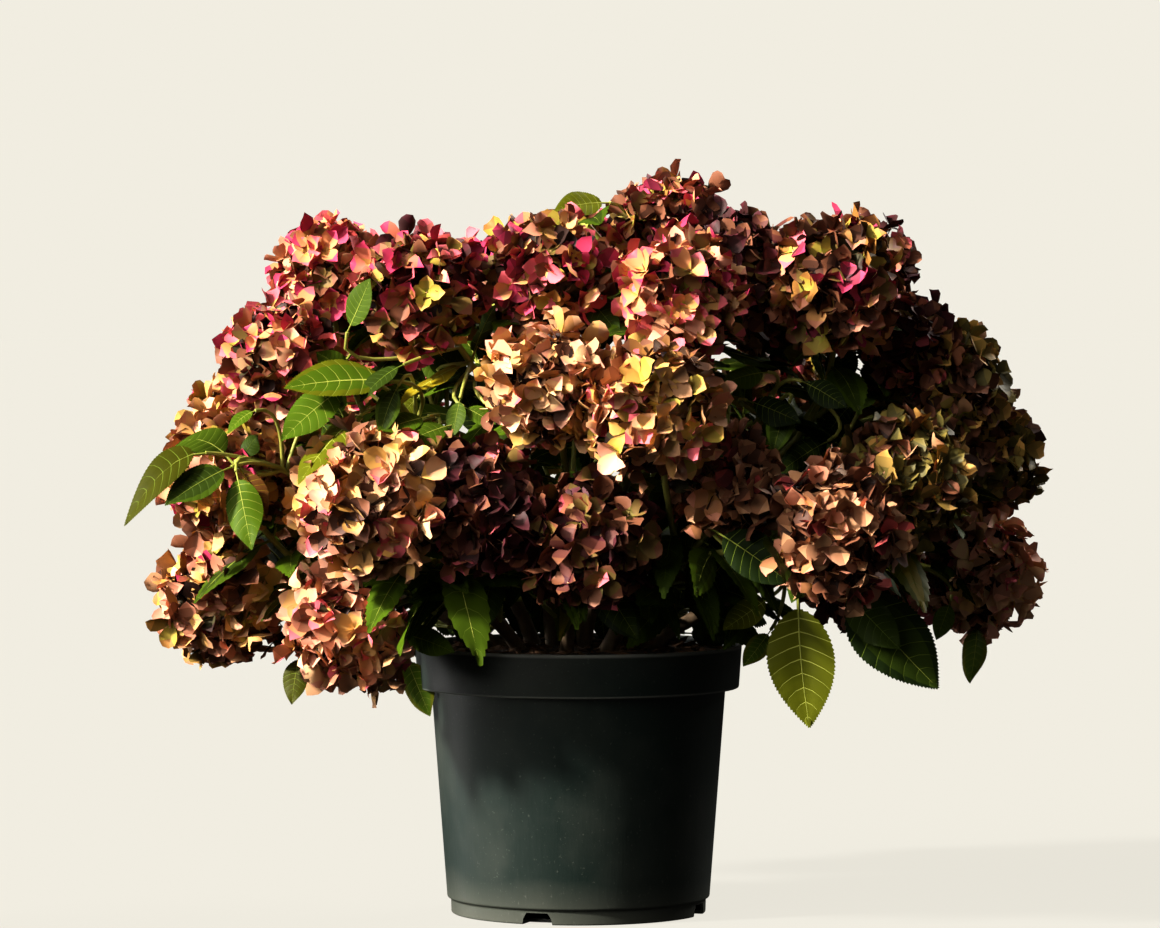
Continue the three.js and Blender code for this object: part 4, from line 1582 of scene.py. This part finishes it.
def leaf_tints():
    tints = {}
    for name, code in LEAF_TINTS.items():
        blade = Finish(f"leaf_{name}", Base_Color=linear(code), Roughness=0.5)
        blade.set("Specular IOR Level", 0.06)
        tints[name] = blade.material
    return tints


def make_leaves(flowering, leafy, twigs, skirts, lone):
    """All leaves as one piece. The single ones take the finer cut."""
    rng = random.Random(SEEDS["leaves"])
    crown = crown_leaves(flowering, leafy, twigs, skirts, rng)
    leaves = crown + lone
    turns, droops = leaf_poses(leaves, rng)
    shapes = [leaf_shape("leaf", cut, rng) for cut in LEAF_CUTS.values() for _ in range(LEAF_SHAPES)]
    first_shapes = [0] * len(crown) + [LEAF_SHAPES] * len(lone)
    picks = [first + rng.randrange(LEAF_SHAPES) for first in first_shapes]
    carrier = mesh_from("leaf_places", [leaf["start"] * MM for leaf, _ in leaves], [])
    write_points(carrier, turn=turns, pick=picks, droop=droops, leaf=range(len(leaves)))
    write_points(carrier, size=[leaf["length"] * MM for leaf, _ in leaves])
    tints = leaf_tints()
    inputs = {"Shapes": shelf_of("leaf", shapes), "Droop": LEAF["droop"], "Finish": tints["mid"]}
    piece = grow("leaves", carrier, leaf_rule, inputs)
    order = list(tints)
    rows = []
    for index, (_, mood) in enumerate(leaves):
        turning = index < len(crown) and rng.random() < TURNING_SHARE
        dealt = rng.choice(LEAF_MOODS["turning" if turning else mood])
        rows.append([order.index(tint) for tint in dealt])
    faces = [read_on_faces(piece.data, key) for key in ("leaf", "zone")]
    deal_tints(piece.data, np.array(rows)[tuple(faces)], tints)
    drop_attributes(piece.data, "leaf", "zone", "along", "turn", "size", "pick", "droop")
    finish_piece(piece, numbered("leaves", len(leafy)))


def deal_tints(mesh, indices, tints):
    """Gives a mesh its plain colours, one for each face."""
    mesh.materials.clear()
    for material in tints.values():
        mesh.materials.append(material)
    mesh.polygons.foreach_set("material_index", indices.astype(np.int32))
    mesh.update()


# ---- blooms ----

SEPAL_TINTS = {
    "magenta": "C23E62",
    "rose": "D66872",
    "blush": "DA9E84",
    "salmon": "CC8C70",
    "coral": "B04C48",
    "cream": "DEBE88",
    "straw": "CC9F56",
    "lime": "A09838",
    "olive": "786A30",
    "tan": "BE906A",
    "ochre": "9A6C34",
    "russet": "7E5038",
    "maroon": "501F26",
    "umber": "301C16",
    "plum": "5C2C40",
    "moss": "464424",
}
# Each colouring is a list of (share, heart, rim): how often a floret runs from that heart to that rim.
# The dark umber runs are partly the florets' own colour and partly painted shade between brighter florets.
COLOURINGS = {
    "pink": (
        (4, "straw", "rose"),
        (3, "lime", "rose"),
        (3, "straw", "magenta"),
        (2, "cream", "blush"),
        (2, "tan", "salmon"),
        (2, "olive", "russet"),
        (1, "maroon", "coral"),
    ),
    "magenta": (
        (4, "ochre", "magenta"),
        (2, "maroon", "coral"),
        (2, "russet", "rose"),
        (4, "olive", "russet"),
        (3, "lime", "straw"),
        (4, "umber", "maroon"),
        (1, "cream", "rose"),
    ),
    "coral": (
        (3, "straw", "salmon"),
        (3, "lime", "ochre"),
        (2, "straw", "rose"),
        (3, "olive", "russet"),
        (2, "maroon", "magenta"),
        (4, "umber", "russet"),
    ),
    "cream": (
        (5, "straw", "tan"),
        (4, "cream", "blush"),
        (2, "cream", "straw"),
        (2, "ochre", "tan"),
        (2, "umber", "russet"),
        (1, "tan", "rose"),
    ),
    "straw": (
        (4, "straw", "tan"),
        (2, "cream", "blush"),
        (2, "lime", "straw"),
        (2, "cream", "rose"),
        (1, "russet", "tan"),
        (1, "ochre", "russet"),
    ),
    "tan": (
        (4, "straw", "tan"),
        (2, "olive", "straw"),
        (1, "umber", "russet"),
        (1, "lime", "ochre"),
        (3, "russet", "salmon"),
        (2, "cream", "blush"),
        (1, "ochre", "magenta"),
    ),
    "dusty": (
        (4, "cream", "blush"),
        (3, "straw", "tan"),
        (2, "tan", "salmon"),
        (2, "straw", "rose"),
        (1, "russet", "salmon"),
    ),
    "russet": (
        (4, "russet", "tan"),
        (3, "umber", "russet"),
        (2, "ochre", "salmon"),
        (1, "maroon", "coral"),
    ),
    "maroon": (
        (4, "maroon", "russet"),
        (3, "umber", "maroon"),
        (2, "olive", "russet"),
        (1, "ochre", "rose"),
    ),
    "plum": (
        (4, "plum", "russet"),
        (3, "umber", "plum"),
        (2, "russet", "blush"),
        (1, "moss", "tan"),
    ),
    "olive": (
        (4, "moss", "olive"),
        (3, "olive", "straw"),
        (3, "umber", "russet"),
        (1, "lime", "tan"),
    ),
    "shadow": (
        (4, "umber", "umber"),
        (3, "moss", "umber"),
        (2, "umber", "russet"),
    ),
}
# Each row of a sepal: how far along it is, and half its width.
SEPAL_ROWS = ((0.04, 0.06), (0.26, 0.36), (0.49, 0.5), (0.73, 0.44), (0.92, 0.23))
SEPAL_ZONES = (0, 1, 1, 2, 2)  # from heart to rim, by row
BUD_ZONE = 3
SEPAL_VARIES = {
    "spin": (-0.2, 0.2),
    "length": (0.84, 1.1),
    "width": (0.9, 1.15),
    "lift": (-0.1, 0.5),
    "curl": (-0.5, 0.6),
    "cup": (-0.3, 0.9),
}
SEPAL_FOLDS = (0.0, 0.15, 0.35, 0.8)
SEPAL = {"overlap": 0.05, "ruffle": 0.09, "middle": 1.04, "point": 1.12, "stray": 0.08}
BUD = {"radius": 0.09, "foot": 0.02, "height": 0.12}
FLORET = {
    "shapes": 9,
    "room": 262,
    "length": (12.6, 18.0),
    "usual_bloom": 55,
    "scatter": 0.13,
    "tilt": 0.42,
    "sway": 0.12,
    "scale": 1.0,
    "stalk_side": 0.8,
    "least_reach": 0.62,
}
# The inner layer takes the dark shadow colouring, painted shade deep inside each bloom.
FLORET_LAYERS = ((0.79, 1.0), (0.57, 0.4))  # depth as a share of the radius, and share of the florets
LUMPS = {"scale": 1.8, "height": 0.24, "stray": (-0.2, 0.09), "seeds": 50}
ODD_SEPALS = 0.22  # share of sepals that take a colouring of their own
FULL_RIMS = 0.3  # share of sepals whose rim's colour fills most of them
BETWEEN = 0.35  # where the shade between heart and rim lies
BLOOMS_A_PIECE = 10
FLORET_STALK = {"hub": 0.4, "near": 1.1, "rise": 2, "radii": (0.9, 0.6, 0.5)}


def add_sepal(points, faces, marks, sepal, rng):
    """One sepal, cupped, folded and ruffled at random, in rows of three points from its heart to its tip."""
    spin, length, width, lift, curl, cup = (rng.uniform(*span) for span in SEPAL_VARIES.values())
    turn = sepal * math.pi / 2 + spin
    fold = rng.choice(SEPAL_FOLDS)
    level = SEPAL["overlap"] * (sepal % 2)
    forward = Vector((math.cos(turn), math.sin(turn), 0))
    side = Vector((-math.sin(turn), math.cos(turn), 0))
    rows = []
    for along, half in SEPAL_ROWS:
        row = []
        for across in (-1, 0, 1):
            reach = along * length * (1 if across else SEPAL["middle"])
            out = across * half * width
            ruffle = rng.uniform(-SEPAL["ruffle"], SEPAL["ruffle"]) * abs(across) * along
            rise = level + lift * along + curl * along * along
            rise = rise + cup * out * out + fold * abs(out) + ruffle
            points.append(forward * reach + side * out + UP * rise)
            row.append(len(points) - 1)
        rows.append(row)
    point = forward * length * SEPAL["point"] + side * rng.uniform(-SEPAL["stray"], SEPAL["stray"])
    points.append(point + UP * (level + lift + curl))
    tip = len(points) - 1
    for order, (low, high) in enumerate(zip(rows, rows[1:])):
        faces += [(low[0], low[1], high[1], high[0]), (low[1], low[2], high[2], high[1])]
        marks += [(sepal, SEPAL_ZONES[order])] * 2
    last = rows[-1]
    faces += [(last[0], last[1], tip), (last[1], last[2], tip)]
    marks += [(sepal, SEPAL_ZONES[-1])] * 2


def add_bud(points, faces, marks):
    """The small four-sided bud in the middle of a floret."""
    base = len(points)
    for corner in range(4):
        angle = corner * math.pi / 2
        flat = Vector((math.cos(angle), math.sin(angle), 0)) * BUD["radius"]
        points.append(flat + UP * BUD["foot"])
    points.append(UP * BUD["height"])
    for corner in range(4):
        faces.append((base + corner, base + (corner + 1) % 4, base + 4))
        marks.append((0, BUD_ZONE))


def floret_shape(name, rng):
    """Four broad papery sepals round a small bud, each about one unit long. Faces know sepal and zone."""
    points = []
    faces = []
    marks = []
    for sepal in range(4):
        add_sepal(points, faces, marks, sepal, rng)
    add_bud(points, faces, marks)
    mesh = mesh_from(name, points, faces)
    write_faces(mesh, sepal=[sepal for sepal, _ in marks], zone=[zone for _, zone in marks])
    return smoothed(mesh)


def free_reach(bloom, blooms, outward, wanted):
    """How far a bloom may reach along a direction before it crosses into a neighbour's half."""
    reach = wanted
    for other in blooms:
        if other is bloom:
            continue
        across = other["end"] - bloom["end"]
        span = across.length
        wall = span * bloom["radius"] / (bloom["radius"] + other["radius"])
        cosine = outward.dot(across) / span
        if cosine > 1e-6:
            reach = min(reach, wall / cosine)
    return reach


def florets_of(bloom, blooms, rng):
    """Where a bloom's florets sit: spread evenly over a lumpy ball, all but where its stalk comes in."""
    radius = bloom["radius"]
    count = round(4 * math.pi * radius**2 / FLORET["room"])
    spin = Quaternion(Vector([rng.gauss(0, 1) for _ in range(4)])).normalized()
    inward = -bloom["limb"].heading(1.0)
    seed = stray(rng, LUMPS["seeds"])
    places = []
    for layer, (share, part) in enumerate(FLORET_LAYERS):
        total = round(count * part)
        for index in range(total):
            height = 1 - 2 * (index + 0.5) / total
            ring = math.sqrt(1 - height * height)
            angle = index * math.pi * (3 - math.sqrt(5)) + layer
            outward = Vector((ring * math.cos(angle), ring * math.sin(angle), height))
            outward = (spin @ (outward + stray(rng, FLORET["scatter"]))).normalized()
            if outward.dot(inward) > FLORET["stalk_side"]:
                continue
            lump = noise.noise(outward * LUMPS["scale"] + seed) * LUMPS["height"]
            wanted = radius * (share + (lump + rng.uniform(*LUMPS["stray"])))
            reach = free_reach(bloom, blooms, outward, wanted)
            if reach < wanted * FLORET["least_reach"]:
                continue
            lean = Vector([rng.gauss(0, 1) for _ in range(3)]) * FLORET["tilt"]
            normal = (outward + lean).normalized()
            spun = normal.to_track_quat("Z", "Y") @ Quaternion(UP, rng.uniform(0, 2 * math.pi))
            places.append(
                {
                    "place": bloom["end"] + outward * reach,
                    "turn": spun.to_euler(),
                    "size": rng.uniform(*FLORET["length"]) * math.sqrt(radius / FLORET["usual_bloom"]),
                    "colouring": bloom["colouring"] if layer == 0 else "shadow",
                }
            )
    return places


def floret_rule(plan, given):
    """One of the floret shapes on every point, turned as the point says and tilted a little at random."""
    span = {"Min": 0.0 - given["Tilt"], "Max": given["Tilt"], "Seed": given["Seed"]}
    tilt = plan.node("FunctionNodeRandomValue", {"data_type": "FLOAT_VECTOR"}, span, "Value")
    turned_by = {0: plan.attribute("turn", "FLOAT_VECTOR"), 1: tilt}
    placing = {
        "Instance Index": plan.attribute("pick", "INT"),
        "Rotation": plan.node("ShaderNodeVectorMath", {"operation": "ADD"}, turned_by),
        "Scale": plan.attribute("size", "FLOAT") * given["Size"],
    }
    return scattered(plan, given, given["Carrier"], placing)


class SepalTints:
    """The plain colours of sepals, and for each heart and rim the shade between them."""

    def __init__(self):
        self.materials = {}

    def _slot(self, name, colour):
        if name not in self.materials:
            finish = Finish(f"sepal_{name}", Base_Color=colour, Roughness=0.62)
            finish.set("Specular IOR Level", 0.3)
            self.materials[name] = finish.material
        return list(self.materials).index(name)

    def run(self, heart, rim):
        """The slots of a sepal's three zones and of the bud."""
        ends = [linear(SEPAL_TINTS[name]) for name in (heart, rim)]
        between = mixed(*ends, BETWEEN)
        return (
            self._slot(heart, ends[0]),
            self._slot(f"{heart}_{rim}", between),
            self._slot(rim, ends[1]),
            self._slot("tan", linear(SEPAL_TINTS["tan"])),
        )


def draw_run(colouring, rng):
    runs = COLOURINGS[colouring]
    _, heart, rim = rng.choices(runs, [share for share, _, _ in runs])[0]
    return heart, rim


def make_florets(name, blooms, all_blooms, nodes, shapes, tints, rng):
    florets = [floret for bloom in blooms for floret in florets_of(bloom, all_blooms, rng)]
    table = np.zeros((len(florets), 4, 4), np.int32)
    for index, floret in enumerate(florets):
        main = draw_run(floret["colouring"], rng)
        for sepal in range(4):
            run = draw_run(floret["colouring"], rng) if rng.random() < ODD_SEPALS else main
            slots = list(tints.run(*run))
            if rng.random() < FULL_RIMS:
                slots[1] = slots[2]
            table[index, sepal] = slots
    carrier = mesh_from(f"{name}_places", [floret["place"] * MM for floret in florets], [])
    write_points(
        carrier,
        turn=[floret["turn"] for floret in florets],
        size=[floret["size"] * MM for floret in florets],
        pick=[rng.randrange(FLORET["shapes"]) for _ in florets],
        floret=range(len(florets)),
    )
    plain = next(iter(tints.materials.values()))
    inputs = {
        "Shapes": shapes,
        "Size": FLORET["scale"],
        "Tilt": FLORET["sway"],
        "Seed": SEEDS["floret_sway"],
        "Finish": plain,
    }
    piece = grow(name, carrier, floret_rule, inputs)
    faces = [read_on_faces(piece.data, key) for key in ("floret", "sepal", "zone")]
    deal_tints(piece.data, table[tuple(faces)], tints.materials)
    drop_attributes(piece.data, "floret", "sepal", "zone", "turn", "size", "pick")
    finish_piece(piece, nodes)
    return florets


def floret_stalks(bloom, florets):
    """A fine stalk from a bloom's hub to each floret in reach, arched up a little."""
    hub = bloom["end"] - bloom["limb"].heading(1.0) * bloom["radius"] * FLORET_STALK["hub"]
    limit = bloom["radius"] * FLORET_STALK["near"]
    ends = [f["place"] for f in florets if (f["place"] - bloom["end"]).length < limit]
    middles = [hub.lerp(end, 0.5) + UP * FLORET_STALK["rise"] for end in ends]
    return [list(zip((hub, middle, end), FLORET_STALK["radii"])) for middle, end in zip(middles, ends)]


def make_blooms(flowering):
    """The blooms, some to a piece, and the fine stalks of all their florets as one piece."""
    rng = random.Random(SEEDS["blooms"])
    shapes = shelf_of("floret", [floret_shape("floret", rng) for _ in range(FLORET["shapes"])])
    tints = SepalTints()
    for runs in COLOURINGS.values():
        for _, heart, rim in runs:
            tints.run(heart, rim)
    names = numbered("bloom", len(flowering))
    stalks = []
    for part, first in enumerate(range(0, len(flowering), BLOOMS_A_PIECE)):
        group = flowering[first : first + BLOOMS_A_PIECE]
        nodes = names[first : first + BLOOMS_A_PIECE]
        florets = make_florets(f"florets_{part + 1}", group, flowering, nodes, shapes, tints, rng)
        for bloom in group:
            stalks += floret_stalks(bloom, florets)
    # The floret stalks are a darkened brown, partly their own colour and partly painted shade in the gaps
    # between florets.
    pale = Finish("floret_stalk", Base_Color=linear("6E5A3C"), Roughness=0.6).material
    finish_piece(make_tubes("floret_stalks", stalks, FLORET_TUBE, pale))


# ---- the whole ----

make_camera()
for sun_name, sun_plan in SUNS.items():
    make_sun(sun_name, sun_plan)
make_surroundings()

stem_lines, flowering_shoots, leafy_shoots = plan_shrub()
make_pot()
make_soil()
make_stems(stem_lines)
twig_shoots = gap_twigs(stem_lines, flowering_shoots, leafy_shoots, random.Random(SEEDS["twigs"]))
skirt_shoots = skirt_twigs(stem_lines, random.Random(SEEDS["skirt"]))
lone = lone_leaves(stem_lines + [shoot["limb"] for shoot in flowering_shoots + leafy_shoots])
make_stalks(flowering_shoots, leafy_shoots, twig_shoots + skirt_shoots, lone)
make_leaves(flowering_shoots, leafy_shoots, twig_shoots, skirt_shoots, lone)
make_blooms(flowering_shoots)
